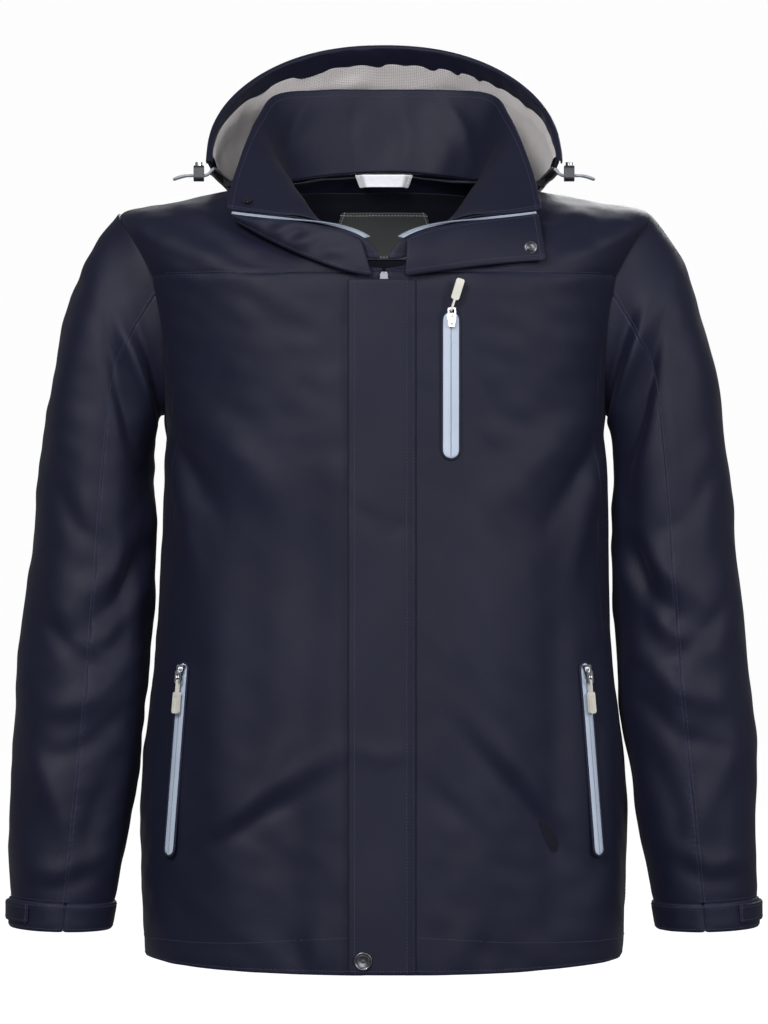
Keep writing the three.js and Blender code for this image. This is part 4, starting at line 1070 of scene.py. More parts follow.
# %% Collar surface
COLLAR_HEIGHT, COLLAR_SPREAD, CORNER = 84, 128, (152, -92, -42)
NECK_ANGLE = 0.012
COLLAR_TOP = np.array([
    (0, NECK_BACK + 5, NECK_RISE + COLLAR_HEIGHT),
    (0.52 * COLLAR_SPREAD, NECK_BACK + 1, NECK_RISE + COLLAR_HEIGHT - 1),
    (0.87 * COLLAR_SPREAD, NECK_BACK - 22, NECK_RISE + COLLAR_HEIGHT - 9),
    (COLLAR_SPREAD, 14, NECK_RISE + COLLAR_HEIGHT - 36),
    (mix(COLLAR_SPREAD, CORNER[0], 0.4), -24, NECK_RISE + COLLAR_HEIGHT - 68),
    (mix(COLLAR_SPREAD, CORNER[0], 0.8), -62, 0.3 * CORNER[2]),
    CORNER,
], dtype=float)
EDGE_RISE = 24


def collar(u, h):
    """u runs from the wearer's left front (-1) round the back to the right front, h up the collar."""
    u, h = np.broadcast_arrays(np.asarray(u, float), np.asarray(h, float))
    theta = np.pi + u * (np.pi - NECK_ANGLE)
    base = body(theta, np.full(u.shape, float(TOP_RING))) + np.array([0, 0, 0.4])
    top = through(COLLAR_TOP, np.clip(np.abs(u), 0, 1) * (len(COLLAR_TOP) - 1))
    top = top * point(np.where(u > 0, -1, 1), 1, 1)
    front = np.clip((np.abs(u) - 0.55) / 0.45, 0, 1) ** 2
    height = np.clip(h, 0, 1)
    p = mix(base, top, h[..., None])
    rise = front * EDGE_RISE * np.sin(np.pi * height ** 0.45)
    return p + point(0, -front * 6 * np.sin(np.pi * height), rise)


COLLAR_SIGN = 1 if normal_of(collar, np.array(0.0), np.array(0.5))[1] > 0 else -1


def collar_out(u, h):
    return normal_of(collar, u, h) * COLLAR_SIGN


def collar_fall(p):
    x, z = p[..., 0], p[..., 2]
    inside = [([(-70, 88), (-92, 55), (-104, 20)], 2.6, 8), ([(60, 86), (84, 50), (92, 14)], 2.4, 8),
              ([(-30, 80), (-36, 46), (-30, 16)], 1.8, 9), ([(18, 84), (26, 44), (20, 14)], -1.8, 9)]
    return sum(stroke(x, z, *fold) for fold in inside) + 0.8 * ripple(p, 46, 41)


u = np.linspace(-1, 1, 201)[None, :]
FOLD_STEPS, ROLL = 7, 3.1
up_outer = np.linspace(0.01, 1, 19)
down_inner = np.linspace(1, 0.02, 19)
rows = []
for h in up_outer:
    p = collar(u, h)
    rows.append(p + collar_out(u, h) * (-1.0 + collar_fall(p))[..., None])
rim_out, rim_up = collar_out(u, 1.0), unit(collar(u, 1.0) - collar(u, 0.97))
for k in range(1, FOLD_STEPS):
    turn = np.pi * k / FOLD_STEPS
    p = collar(u, 1.0)
    swell = (-1.0 + collar_fall(p) - ROLL * 0.5 * (1 - math.cos(turn)))[..., None]
    rows.append(p + rim_out * swell + rim_up * (ROLL * 0.5 * math.sin(turn)))
for h in down_inner:
    p = collar(u, h)
    rows.append(p + collar_out(u, h) * (-1.0 - ROLL + collar_fall(p))[..., None])
grid = np.concatenate(rows, axis=0)
reference = np.concatenate([collar_out(u, h) for h in up_outer] + [rim_up] * (FOLD_STEPS - 1)
                           + [-collar_out(u, h) for h in down_inner])
collar_sheet = Sheet(grid, reference, 1.5, "lrf").pull_in_seams(0.8, 3)
collar_cloth = collar_sheet.solid("collar_cloth", shell_cloth)
place_piece(collar_cloth, "jacket", "shell_cloth", "collar_shell", "collar_facing")
print("collar", grid.shape)

# %% [markdown]
# ## Front closure
# A storm flap covers the zip and snaps down at the hem. Where it is turned out at the neck it becomes
# a lapel. Both are cloth.

# %% Storm flap, lapel and guard
FLAP_SEAM, FLAP_FREE, FLAP_TOP, FLAP_LIFT = 31, 34, 112, 3.6
TRIM_LIFT = FLAP_LIFT + 1.2


def on_jacket(obj, slot_name, *nodes):
    return place_piece(obj, "jacket", slot_name, *nodes)


def hinged(obj, slot_name, moving, start, end, *nodes):
    """A cloth piece with its transform baked into its mesh and its model nodes hidden. slot_name, moving,
    start and end are not used.
    """
    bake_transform(obj)
    if nodes:
        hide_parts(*nodes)
    return obj


def front_grid(xs, zs):
    x, z = np.meshgrid(np.asarray(xs, float), np.asarray(zs, float))
    theta, v = front_place(x, z)
    return x, z, body(theta, v), body_normal(theta, v)


x, z, p, n = front_grid(np.linspace(-FLAP_FREE, FLAP_SEAM, 20), np.linspace(-BODY_LENGTH + 1, -FLAP_TOP, 118))
across_flap = (FLAP_SEAM - x) / (FLAP_SEAM + FLAP_FREE)
rise = mix(1.4, TRIM_LIFT, np.clip(across_flap / 0.16, 0, 1) ** 0.7)
wave = 0.9 * ripple(p * np.array([1, 1, 0.7]), 95, 51) * np.clip(across_flap * 2.2, 0, 1)
wave = wave + stroke(x, z, [(-30, -330), (0, -352), (28, -350)], -1.5, 7)
wave = wave + stroke(x, z, [(-32, -560), (-4, -572), (26, -566)], 1.3, 9)
flap = Sheet(p + n * (rise + np.clip(wave, -1.4, 1.8))[..., None], n, 2.3, "r").pull_in_seams(0.9, 3)
FLAP_FOLD = (to_frame((31.4, -150, -400)), to_frame((22, -150, -400)))
hinged(flap.solid("storm_flap_cloth", shell_cloth), "shell_cloth", "storm_flap", *FLAP_FOLD, "storm_flap")


def folded(side, low_x, low_z, drop, s, t, swell, seed):
    """A strip that is folded out from the front edge of the collar."""
    h = mix(0.14, 0.985, s)
    top = collar(np.full(h.shape, -float(side)), h) + np.array([0, -2 * drop, -drop])
    low = on_front(side * low_x, low_z, np.full(s.shape, 8.0))
    p = mix(top, low, t[..., None])
    out = point(side * 0.15, -1, 0.1) * np.ones(p.shape)
    puff = swell * np.sin(np.pi * t) ** 0.7 + 0.9 * ripple(p, 42, seed) * np.sin(np.pi * np.clip(t, 0, 0.8))
    return p + unit(out) * puff[..., None], out


s, t = np.meshgrid(np.linspace(0, 1, 54), np.linspace(0, 1, 22))
lapel_z = mix(-FLAP_TOP + 3, CORNER[2] - 52, s)
p, out = folded(1, mix(20, CORNER[0] + 3, s), lapel_z, 2.6, s, t, 3.0, 61)
lapel = Sheet(p, out, 2.3, "f").pull_in_seams(0.6, 3)
hinge_a, hinge_b = p[0, 0], p[0, -1]
middle_top, middle_low = p[0, 27], p[-1, 27]
along = unit(hinge_b - hinge_a)
drop_way = unit((middle_low - middle_top) - along * np.dot(middle_low - middle_top, along))
LAPEL_FOLD = (to_frame(hinge_a), to_frame(hinge_a + drop_way * 12))
lapel_cloth = lapel.solid("collar_flap_cloth", shell_cloth)
hinged(lapel_cloth, "shell_cloth", "collar_flap", *LAPEL_FOLD, "collar_flap")

guard_z = mix(-FLAP_TOP + 4, CORNER[2] - 15, s ** 1.6)
p, out = folded(-1, mix(12, CORNER[0] - 8, s), guard_z, 2.9, s, t, 2.0, 63)
p = p + unit(out) * (1.6 * ripple(p, 26, 64) * np.sin(np.pi * t) * np.sin(np.pi * s))[..., None]
guard = Sheet(p, out, 2.0, "f").pull_in_seams(0.6, 3)
on_jacket(guard.solid("fly_guard_cloth", shell_cloth), "shell_cloth", "fly_guard")
print("flap", flap.points.shape, "lapel and guard", s.shape)

# %% [markdown]
# ## Zips
# A zip is two tapes and a coil. On the collar the coil shows as a ribbed line along the tape's edge, so
# the sewing tree is used again with short fat stitches. The pockets have coated zips under a film,
# each let into the cloth inside a welded lip.

# %% Zip tapes at the front and the collar
ZIP_FOOT, ZIP_HEAD = -BODY_LENGTH + 6, -NECK_DROP - 3
for name, side in SIDES:
    x, z, p, n = front_grid(side * np.linspace(0.9, 13, 5), np.linspace(ZIP_FOOT, ZIP_HEAD, 60))
    tape = Sheet(p + n * -4.0, n, 1.1, "")
    on_jacket(tape.solid(f"main_zip_tape_{name}_cloth", coated_zip, 0), "coated_zip", f"main_zip_tape_{name}")
    h = np.linspace(0.12, 0.975, 60)
    edge = collar(np.full(h.shape, -float(side)), h)
    out = unit(edge - collar(np.full(h.shape, -side * 0.99), h))
    face = np.cross(out, np.gradient(edge, axis=0))
    grid = np.stack([edge + out * w for w in (0.4, 2.0, 3.6, 5.2)], axis=1)
    tape = Sheet(grid, np.stack([unit(face)] * 4, axis=1), 1.1, "")
    tape_name = f"collar_zip_tape_{name}"
    on_jacket(tape.solid(f"{tape_name}_cloth", coated_zip, 0), "coated_zip", tape_name)
    coil = sew(f"collar_zip_coil_{name}", [edge + out * 5.3], coated_zip, step=0.0014, stitch_length=0.0012,
               thread_radius=0.0011)
    on_jacket(coil, "coated_zip")

# %% [markdown]
# ### Pocket zips
# The film-covered tape is one smooth pill with a parting line down its middle. A round lip of shell
# cloth runs round it, and the topstitch follows outside.

# %% Tubes and pocket zips


def tube(name, path, radius, finish, sides=10, closed=False, twist=0.0, strands=0):
    """A round bar along a path in millimetres; strands twist round it as in a braid."""
    path = np.asarray(path, float)
    if closed:
        tangent = unit(np.roll(path, -1, axis=0) - np.roll(path, 1, axis=0))
    else:
        tangent = unit(np.gradient(path, axis=0))
    side_way = unit(np.cross(tangent[0], (0.31, 0.2, 0.93)))
    frames = []
    for k in range(len(path)):
        side_way = unit(side_way - tangent[k] * np.dot(side_way, tangent[k]))
        frames.append((side_way, np.cross(tangent[k], side_way)))
    rings = []
    for k, (a, b) in enumerate(frames):
        angle = np.arange(sides) * FULL_TURN / sides
        swell = 1.0
        if strands:
            swell = 0.9 + 0.1 * np.abs(np.sin(strands * angle / 2 + k * twist)) + 0.06 * np.abs(
                np.sin(strands * angle / 2 - k * twist))
        reach = (radius * swell * np.ones(sides))[:, None]
        rings.append(path[k] + reach * (np.cos(angle)[:, None] * a + np.sin(angle)[:, None] * b))
    points = np.concatenate(rings)
    count = len(path)
    faces = []
    for k in range(count if closed else count - 1):
        here, there = k * sides, (k + 1) % count * sides
        for j in range(sides):
            after = (j + 1) % sides
            faces.append((here + j, here + after, there + after, there + j))
    if not closed:
        faces.append(tuple(range(sides))[::-1])
        faces.append(tuple((count - 1) * sides + j for j in range(sides)))
    obj = new_object(name, to_frame(points), faces)
    obj.data.materials.append(finish)
    return obj


def seat_frame(top_place, low_place):
    """The flat seat of a zip: its top point and its across, away and up directions."""
    top, low = on_front(*top_place), on_front(*low_place)
    middle = front_place((top_place[0] + low_place[0]) / 2, (top_place[1] + low_place[1]) / 2)
    up = unit(top - low)
    away = unit(body_normal(*middle))
    across = unit(np.cross(-away, up))
    up = unit(np.cross(across, -away))
    return top, across, away, up, float(np.linalg.norm(on_front(*top_place) - low))


def pill(half, length, steps=16):
    """The outline of a strip with round ends, from the top end down."""
    turn = np.linspace(0, np.pi, steps)
    top = np.stack([half * np.cos(turn), -half + half * np.sin(turn)], axis=1)
    low = np.stack([-half * np.cos(turn), -length + half - half * np.sin(turn)], axis=1)
    return np.concatenate([top, low])


def long_pill(half, length, gap):
    """The pill's outline with points close enough together to sew along."""
    outline = pill(half, length)
    outline = np.concatenate([outline, outline[:1]])
    steps = np.linalg.norm(np.diff(outline, axis=0), axis=1)
    run = np.concatenate([[0], np.cumsum(steps)])
    even = np.linspace(0, run[-1], int(run[-1] / gap))
    return np.stack([np.interp(even, run, outline[:, k]) for k in (0, 1)], axis=1)[:-1]


ZIP_FACE = {}


def pocket_zip(name, top_place, low_place, width):
    top, across, away, up, length = seat_frame(top_place, low_place)
    node_low, node_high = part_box(f"{name}_tape")
    centre = (np.array(node_low) + np.array(node_high)) / 2 / MM - FRAME_SHIFT
    lift = float(np.dot(centre - top, away))
    ZIP_FACE[name] = (top, across, away, up, lift, length)
    half = width / 2
    z = np.linspace(0, -length, 110)
    round_end = np.minimum(np.minimum(-z, length + z), half)
    reach = np.sqrt(np.clip(half ** 2 - (half - round_end) ** 2, 0.02, None))
    share = np.linspace(-1, 1, 11)
    grid = top + across * (reach[:, None] * share)[..., None] + up * z[:, None, None]
    crown = 0.7 * (1 - share ** 2)[None, :, None] + 0 * z[:, None, None]
    grid = grid + away * (lift + crown - 0.2)
    tape = Sheet(grid[::-1], np.broadcast_to(away, grid.shape), 1.1, "")
    on_jacket(tape.solid(f"{name}_tape_film", coated_zip), "coated_zip", f"{name}_tape")
    outline = long_pill(half + 1.1, length + 2.2, 3.0)
    lip_path = top + up * 1.1 + across * outline[:, :1] + up * outline[:, 1:] + away * (lift - 0.3)
    on_jacket(tube(f"{name}_lip", lip_path, 1.25, shell_cloth, 8, closed=True), "shell_cloth")


pocket_zip("chest_zip", (64.5, -143), (64.5, -284), 15.4)
for name, side in SIDES:
    pocket_zip(f"hand_zip_{name}", (side * 195, -484), (side * 207, -671), 11)
print("pocket zips at", [np.round(to_frame(ZIP_FACE[k][0]), 3).tolist() for k in ZIP_FACE])

# %% [markdown]
# ## Labels and hanger loop
# The hanger loop is a strip of twill tape whose ends are turned under and sewn down. The label is a
# plain woven patch with a stitched border. It carries no name.

# %% Loop and label
INSIDE_BACK = 67.3
LOOP_FACE, LOOP_END = INSIDE_BACK - 7 - 0.8, INSIDE_BACK + 0.6
one_side = [(29, LOOP_END), (25.5, LOOP_END - 3), (21.5, LOOP_FACE + 0.8), (17, LOOP_FACE)]
route = np.array([(-x, y) for x, y in one_side] + [(0, LOOP_FACE)] + one_side[::-1], float)
run = np.linspace(0, len(route) - 1, 61)
path = through(route, run)
height = np.linspace(-6, 6, 9)
taper = mix(0.84, 1.0, np.linspace(0, 1, 9))
grid = np.stack([point(path[:, 0] * k, path[:, 1], h + 0 * path[:, 0]) for h, k in zip(height, taper)])
loop = Sheet(grid, np.broadcast_to(np.array([0, -1, 0]), grid.shape), 1.3, "ft")
on_jacket(loop.solid("hanger_loop_tape", loop_tape), "loop_tape", "hanger_loop")
LABEL_ANGLE = math.asin((96 / 2 / HALF_CHEST) ** 1.2)
theta = np.pi + np.linspace(-LABEL_ANGLE, LABEL_ANGLE, 41)[None, :] * np.ones((24, 1))
height = np.linspace(-74, -22, 24)[:, None] * np.ones((1, 41))
v = ring_at(theta, height)
n = body_normal(theta, v)
p = body(theta, v) - n * (13.1 + 0.5 * ripple(body(theta, v), 40, 71))[..., None]
label = Sheet(p, -n, 0.8, "lrft")
on_jacket(label.solid("neck_label_patch", label_cloth), "label_cloth", "neck_label")

# %% [markdown]
# ## Linings and pocket bags
# Inside the shell hangs a loose taffeta lining. It is the same draft set in by nine millimetres, with
# softer and slower folds, so that nobody who looks in at the neck or the hem sees a bare solid.

# %% Linings
LINING_SET = 9


def lining_sheet(name, theta, foot, top, rows, seed, set_in=LINING_SET + 0.8, ply=1.0):
    v_low, v_high = ring_at(theta, foot), ring_at(theta, top)
    share = np.linspace(0, 1, rows)[:, None]
    v = mix(v_low, v_high, share)
    around = np.broadcast_to(theta, v.shape)
    p, n = body(around, v), body_normal(around, v)
    under_label = np.exp(-(p[..., 0] / 64) ** 4 - ((p[..., 2] + 48) / 42) ** 4) * (p[..., 1] > 0)
    soft = 1.3 * (1 - under_label) * ripple(p * np.array([1, 1, 0.4]), 60, seed)
    sheet = Sheet(p - n * (set_in - soft + 0.9)[..., None], -n, ply, "lrft")
    return on_jacket(sheet.solid(f"{name}_cloth", lining_cloth), "lining_cloth", name)


for name, side in SIDES:
    theta = side * np.linspace(front_angle, QUARTER - 0.01, 44)
    foot = body(theta, 0 * theta)[..., 2] + 18
    top = np.minimum(-NECK_DROP - 30, arch(theta, -UNDERARM) - 12)
    lining_sheet(f"lining_{name}", theta, foot, top, 60, 81 + side)
theta = np.linspace(QUARTER + ARMHOLE_REACH + 0.05, 3 * QUARTER - ARMHOLE_REACH - 0.05, 80)
lining_sheet("lining_back", theta, body(theta, 0 * theta)[..., 2] + 18, 0 * theta - 4, 90, 84)


def pocket_bag(name, x0, x1, z0, z1):
    x, z, p, n = front_grid(np.linspace(x0, x1, 22), np.linspace(z0, z1, 32))
    shape = p - n * (6.9 + 0.5 * ripple(p, 40, 91))[..., None]
    bag = Sheet(shape, n, 1.2, "lrft").pull_in_seams(0.4, 4)
    on_jacket(bag.solid(f"{name}_cloth", lining_cloth, 0), "lining_cloth", name)


for name, side in SIDES:
    pocket_bag(f"hand_pocket_bag_{name}", side * 100, side * 189, -696, -479)
pocket_bag("chest_pocket_bag", 39.5, 159.5, -304, -137)
print("linings and pocket bags hung")

# %% [markdown]
# ## Hood
# The hood lies back as a pouch that hangs behind the collar. It is drafted like the body, from lines
# that run across it: the face opening, the back of the pouch, the fold that hangs behind, and the seam
# at the neck. Two sides meet a centre panel, a casing round the opening carries the drawcord, and the
# pale mesh lining shows inside.

# %% Hood surface
HOOD_HALF, HOOD_APEX, HOOD_APEX_BACK, HOOD_DROP, HOOD_BACK = 176, 143, 122, 150, 203
HOOD_AXIS_Y, HOOD_AXIS_Z, HOOD_TURN, COLLAR_ROOM, SEAT_LIFT = -15, 0, math.radians(70), 5, 1.0
FREE_STATIONS = [
    (HOOD_HALF, HOOD_APEX_BACK, HOOD_APEX, -24, 8, 0.91),
    (HOOD_HALF - 3, HOOD_BACK - 24, 76, -14, 7, 1.0),
    (HOOD_HALF - 14, HOOD_BACK, -36, -6, 5, 1.2),
    (HOOD_HALF - 24, HOOD_BACK - 20, -HOOD_DROP, -8, 2, 1.4),
]
UNDER_STATIONS = [(TOP_RING - 4.6, 20), (TOP_RING - 2.8, 14)]


def hood_seat(u):
    theta = np.pi - u * (QUARTER + 0.12)
    v = mix(TOP_RING - 0.2, TOP_RING - 1.25, u * u)
    return body(theta, v) + body_normal(theta, v) * SEAT_LIFT


def on_back(u, ring_below, lift):
    """The layer that lies on the back follows the yoke below it."""
    v = mix(ring_below, TOP_RING - 1.25, u * u)
    seat_x = hood_seat(np.array(1.0))[0]
    wide = mix((HOOD_HALF - 26) * np.abs(np.sin(u * QUARTER)) ** 0.91, abs(seat_x), np.abs(u) ** 6)
    share = np.minimum(0.999, wide / ring("half", v))
    theta = np.pi - np.sign(u) * np.arcsin(share ** (ring("square", v) / 2))
    return body(theta, v) + body_normal(theta, v) * lift


def hood_stations(u):
    lines = []
    for k, (half, back, height, corner_y, corner_z, keep) in enumerate(FREE_STATIONS):
        sine = np.abs(np.sin(u * QUARTER))
        share = np.abs(np.cos(u * QUARTER)) ** keep
        corner = np.abs(u) ** 6
        x = np.sign(u) * mix(half * sine ** 0.91, HOOD_HALF - k * 2, corner)
        free = point(x, mix(corner_y, back, share), mix(corner_z, height, share))
        if k == len(FREE_STATIONS) - 1:
            free = mix(free, on_back(u, TOP_RING - 4.6, 36), np.abs(u)[..., None])
        lines.append(free)
    lines.extend(on_back(u, *under) for under in UNDER_STATIONS)
    return np.stack(lines + [hood_seat(u)])


def hood(u, t):
    """u runs across from the wearer's right (-1), t from the face opening round to the neck seam."""
    u, t = np.broadcast_arrays(np.asarray(u, float), np.asarray(t, float))
    lines = hood_stations(u)
    last_line = len(lines) - 1
    place = t * last_line
    i = np.clip(np.floor(place).astype(int), 0, last_line - 1)
    f = (place - i)[..., None]

    def pick(k):
        return np.take_along_axis(lines, np.clip(k, 0, last_line)[None, ..., None], axis=0)[0]

    b, c = pick(i), pick(i + 1)
    a = np.where((i > 0)[..., None], pick(i - 1), 2 * b - c)
    d = np.where((i + 2 <= last_line)[..., None], pick(i + 2), 2 * c - b)
    bend = 2 * a - 5 * b + 4 * c - d + f * (3 * b - a - 3 * c + d)
    return b + 0.5 * f * (c - a + f * bend)


def clears_collar(p):
    """Whether the hood's points stay clear of the collar all through its turn forward."""
    y, z = p[..., 1] - HOOD_AXIS_Y, p[..., 2] - HOOD_AXIS_Z
    reach, start = np.hypot(y, z), np.arctan2(z, y)
    clear = np.ones(reach.shape, bool)
    for turn in np.linspace(0, HOOD_TURN, 15):
        y = HOOD_AXIS_Y + reach * np.cos(start + turn)
        z = HOOD_AXIS_Z + reach * np.sin(start + turn)
        behind = np.clip(y / (NECK_BACK + 5 + COLLAR_ROOM), 0, 1)
        rim = NECK_RISE + COLLAR_HEIGHT - 0.5 * (NECK_BACK - y) + COLLAR_ROOM
        wall = (COLLAR_SPREAD + COLLAR_ROOM) * np.sqrt(1 - behind ** 2) + 0.18 * np.maximum(0, -y)
        clear &= ~((behind < 1) & (z < rim) & (np.abs(p[..., 0]) < wall))
    return clear


HOOD_GAP = 0.004
seam_u = np.linspace(-1, 1, 81)
tries = np.arange(1, 0.5, -0.005)
clear = clears_collar(hood(seam_u[None, :], tries[:, None]))
seam_t = np.where(clear.any(axis=0), tries[clear.argmax(axis=0)], 0.5) - 2 * HOOD_GAP
HOOD_SIGN = 1 if normal_of(hood, np.array(0.01), np.array(0.35))[1] > 0 else -1


def skirt_top(u):
    return np.interp(u, seam_u, seam_t)


def hood_foot(u):
    return np.minimum(0.985, skirt_top(u) - 6 * HOOD_GAP)


def hood_out(u, t):
    return normal_of(hood, u, t) * HOOD_SIGN


HOOD_FOLDS = [
    ([(-150, 30), (-120, 64), (-84, 92)], 3.0, 9), ([(-160, 6), (-120, 30), (-70, 48)], -3.2, 10),
    ([(150, 26), (118, 60), (80, 90)], 3.0, 9), ([(160, 4), (122, 26), (74, 46)], -3.2, 10),
    ([(-130, -40), (-60, -60), (0, -58)], 3.4, 14), ([(130, -30), (66, -56), (6, -62)], 3.2, 14),
    ([(-90, -96), (0, -112), (90, -94)], -4.0, 12), ([(-110, 0), (-50, -14), (10, -8)], -2.6, 12),
    ([(104, 12), (54, -2), (0, 2)], -2.4, 12), ([(-60, 100), (-40, 60), (-36, 20)], 2.2, 10),
    ([(58, 104), (44, 62), (40, 24)], 2.2, 10),
]


def hood_fall(p, t):
    """The pouch creases across; it is held still at its opening and at the neck."""
    free = np.clip(t / 0.08, 0.15, 1) * np.clip((0.62 - t) / 0.12, 0, 1)
    strokes = sum(stroke(p[..., 0], p[..., 2], *fold) for fold in HOOD_FOLDS)
    return free * (strokes + 1.2 * ripple(p, 60, 101) + 0.4 * ripple(p, 26, 102))


def centre_share(t):
    return mix(0.071, 0.19, np.sin(np.pi * t))


def in_hood(obj, slot_name, *nodes):
    return place_piece(obj, "hood", slot_name, *nodes)


# %% Cut the hood
HOOD_ROWS = 110
hood_panels = {}
share = np.linspace(0, 1, HOOD_ROWS)[:, None]
for name, side in SIDES:
    s = np.linspace(0, 1, 52)[None, :]
    u = side * mix(centre_share(share) + HOOD_GAP / 4, 0.985, s)
    t = share * hood_foot(u)
    p, out = hood(u, t), hood_out(u, t)
    p = p + out * (-1.0 + hood_fall(p, t))[..., None]
    sheet = Sheet(p, out, 1.8, "ltf").pull_in_seams(1.1, 3.2)
    hood_panels[f"hood_side_{name}"] = sheet
    in_hood(sheet.solid(f"hood_side_{name}_cloth", shell_cloth), "shell_cloth", f"hood_side_{name}")
u = np.linspace(-1, 1, 19)[None, :] * (centre_share(share) - HOOD_GAP / 4)
t = share * hood_foot(u)
p, out = hood(u, t), hood_out(u, t)
p = p + out * (-1.0 + hood_fall(p, t))[..., None]
hood_panels["hood_centre"] = Sheet(p, out, 1.8, "lrt").pull_in_seams(1.1, 3.2)
in_hood(hood_panels["hood_centre"].solid("hood_centre_cloth", shell_cloth), "shell_cloth", "hood_centre")

u = np.linspace(-0.985, 0.985, 181)[None, :]
CASING = 0.052
rows, refs = [], []
for t in np.linspace(CASING, 0.0, 9):
    rows.append(hood(u, t) + hood_out(u, t) * (0.9 + 0.5 * ripple(hood(u, t), 30, 111))[..., None])
    refs.append(hood_out(u, t))
lead = unit(hood(u, 0.0) - hood(u, 0.01))
for turn in np.linspace(0, np.pi, 8)[1:-1]:
    rows.append(hood(u, 0.0) + hood_out(u, 0.0) * (-1.6 + 2.5 * math.cos(turn)) + lead * 2.5 * math.sin(turn))
    refs.append(lead)
for t in np.linspace(0.0, CASING, 9):
    rows.append(hood(u, t) + hood_out(u, t) * (-4.1 + 0.5 * ripple(hood(u, t), 30, 112))[..., None])
    refs.append(-hood_out(u, t))
casing = Sheet(np.concatenate(rows), np.concatenate(refs), 1.4, "ft").pull_in_seams(0.5, 2.5)
in_hood(casing.solid("hood_casing_cloth", shell_cloth), "shell_cloth")

u = np.linspace(-0.955, 0.955, 121)[None, :]
t = np.linspace(0.036, 0.36, 60)[:, None]
p, out = hood(u, t), hood_out(u, t)
LINING_FOLD = ([(-120, 96), (-40, 110), (60, 108)], 1.6, 7)
sag = 1.4 + 0.9 * ripple(p, 42, 121) + stroke(p[..., 0], p[..., 2], *LINING_FOLD)
mesh_sheet = Sheet(p - out * (4.2 + sag * np.clip((t - 0.036) / 0.04, 0, 1))[..., None], -out, 1.0, "ft")
in_hood(mesh_sheet.solid("hood_mesh_lining", mesh_lining), "mesh_lining", "hood_lining")

u = np.linspace(-0.8, 0.8, 121)[None, :]
t = mix(skirt_top(u) + HOOD_GAP, 1.0, np.linspace(0, 1, 16)[:, None])
p, out = hood(u, t), hood_out(u, t)
skirt = Sheet(p - out * 0.6, out, 1.2, "t").pull_in_seams(0.3, 3)
on_jacket(skirt.solid("hood_skirt_cloth", shell_cloth), "shell_cloth", "hood_skirt")
print("hood:", ", ".join(hood_panels), "with casing, mesh lining and skirt")

# %% [markdown]
# ## Drawcord ends and cord locks
# The cord comes out of the casing, runs through a sprung lock and turns back on itself. Its route is the
# model's own list of points. The braid is sixteen sides that swell where strands cross.

# %% Cords
CORD_HALF_LOOP = [(169.5, 2.8, 6.2), (174.5, 2.8, 1), (179, 2.4, -1), (183, 2.4, -1), (195, 2.4, -1),
                  (200, 4.6, -1.6), (205, 5.2, -3), (208.6, 2.8, -4.4)]
CORD_RADIUS = 1.3
for name, side in SIDES:
    back = [(side * x, HOOD_AXIS_Y + y, z) for x, y, z in CORD_HALF_LOOP]
    front = [(side * x, HOOD_AXIS_Y - y, z) for x, y, z in reversed(CORD_HALF_LOOP)]
    route = np.array(back + front, float)
    run = np.linspace(0, len(route) - 1, 240)
    path = through(route, run)
    cord = tube(f"hood_drawcord_{name}", path, CORD_RADIUS, cord_yarn, 16, twist=0.42, strands=8)
    in_hood(cord, "cord_yarn", f"hood_cord_{name}")

# %% [markdown]
# ## Snaps
# A press snap's cap is a rolled metal disc: a raised bright rim round a dark dished centre. Its profile
# is turned about the snap's own axis, with enough steps to look round close to.

# %% Snap caps and studs


def turned(name, profile, centre, axis, finish, steps=56):
    """A profile of (radius, height) pairs turned about an axis, in millimetres."""
    axis = unit(np.asarray(axis, float))
    a = unit(np.cross(axis, (0.0, 0.3, 1.0)))
    b = np.cross(axis, a)
    angle = np.arange(steps) * FULL_TURN / steps
    ring_points = np.cos(angle)[:, None] * a + np.sin(angle)[:, None] * b
    points, faces = [], []
    for radius, height in profile:
        points.append(centre + axis * height + ring_points * radius)
    for k in range(len(profile) - 1):
        for j in range(steps):
            after = (j + 1) % steps
            faces.append((k * steps + j, k * steps + after, (k + 1) * steps + after, (k + 1) * steps + j))
    faces.append(tuple(range(steps))[::-1])
    faces.append(tuple((len(profile) - 1) * steps + j for j in range(steps)))
    obj = new_object(name, to_frame(np.concatenate(points)), faces)
    obj.data.materials.append(finish)
    return obj


def node_centre(node):
    low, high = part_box(node)
    return (np.array(low) + np.array(high)) / 2 / MM - FRAME_SHIFT


def snap_profile(radius):
    """From the cloth up the outside, over the rim and down into the dish."""
    return [(radius - 0.4, 0), (radius, 0.25), (radius, 0.8), (radius - 0.3, 1.3), (radius - 0.9, 1.62),
            (radius - 1.6, 1.5), (radius - 2.0, 1.1), (radius - 2.3, 0.95)]


hem_axis = body_normal(*front_place(-20.0, -768.0))
hem_spot = node_centre("hem_snap_cap") - hem_axis * 0.85
cap = turned("hem_snap_rim", snap_profile(9), hem_spot, hem_axis, snap_metal)
place_piece(cap, "storm_flap", "snap_metal", "hem_snap_cap")
dish = [(6.6, 0.3), (6.6, 1.0), (5.9, 0.92), (5.5, 1.15), (5.1, 0.92), (2.2, 0.86), (1.8, 1.0), (0.4, 1.05)]
place_piece(turned("hem_snap_dish", dish, hem_spot, hem_axis, lock_moulding), "storm_flap", "snap_metal")
lapel_spot = node_centre("collar_snap_cap")
lapel_axis = unit(np.array([0.12, -1.0, 0.12]))
cap = turned("collar_snap_rim", snap_profile(6.5), lapel_spot - lapel_axis * 0.3, lapel_axis, snap_metal, 44)
place_piece(cap, "collar_flap", "snap_metal", "collar_snap_cap")
small_dish = [(r * 0.66, h) for r, h in dish]
dish_spot = lapel_spot - lapel_axis * 0.3
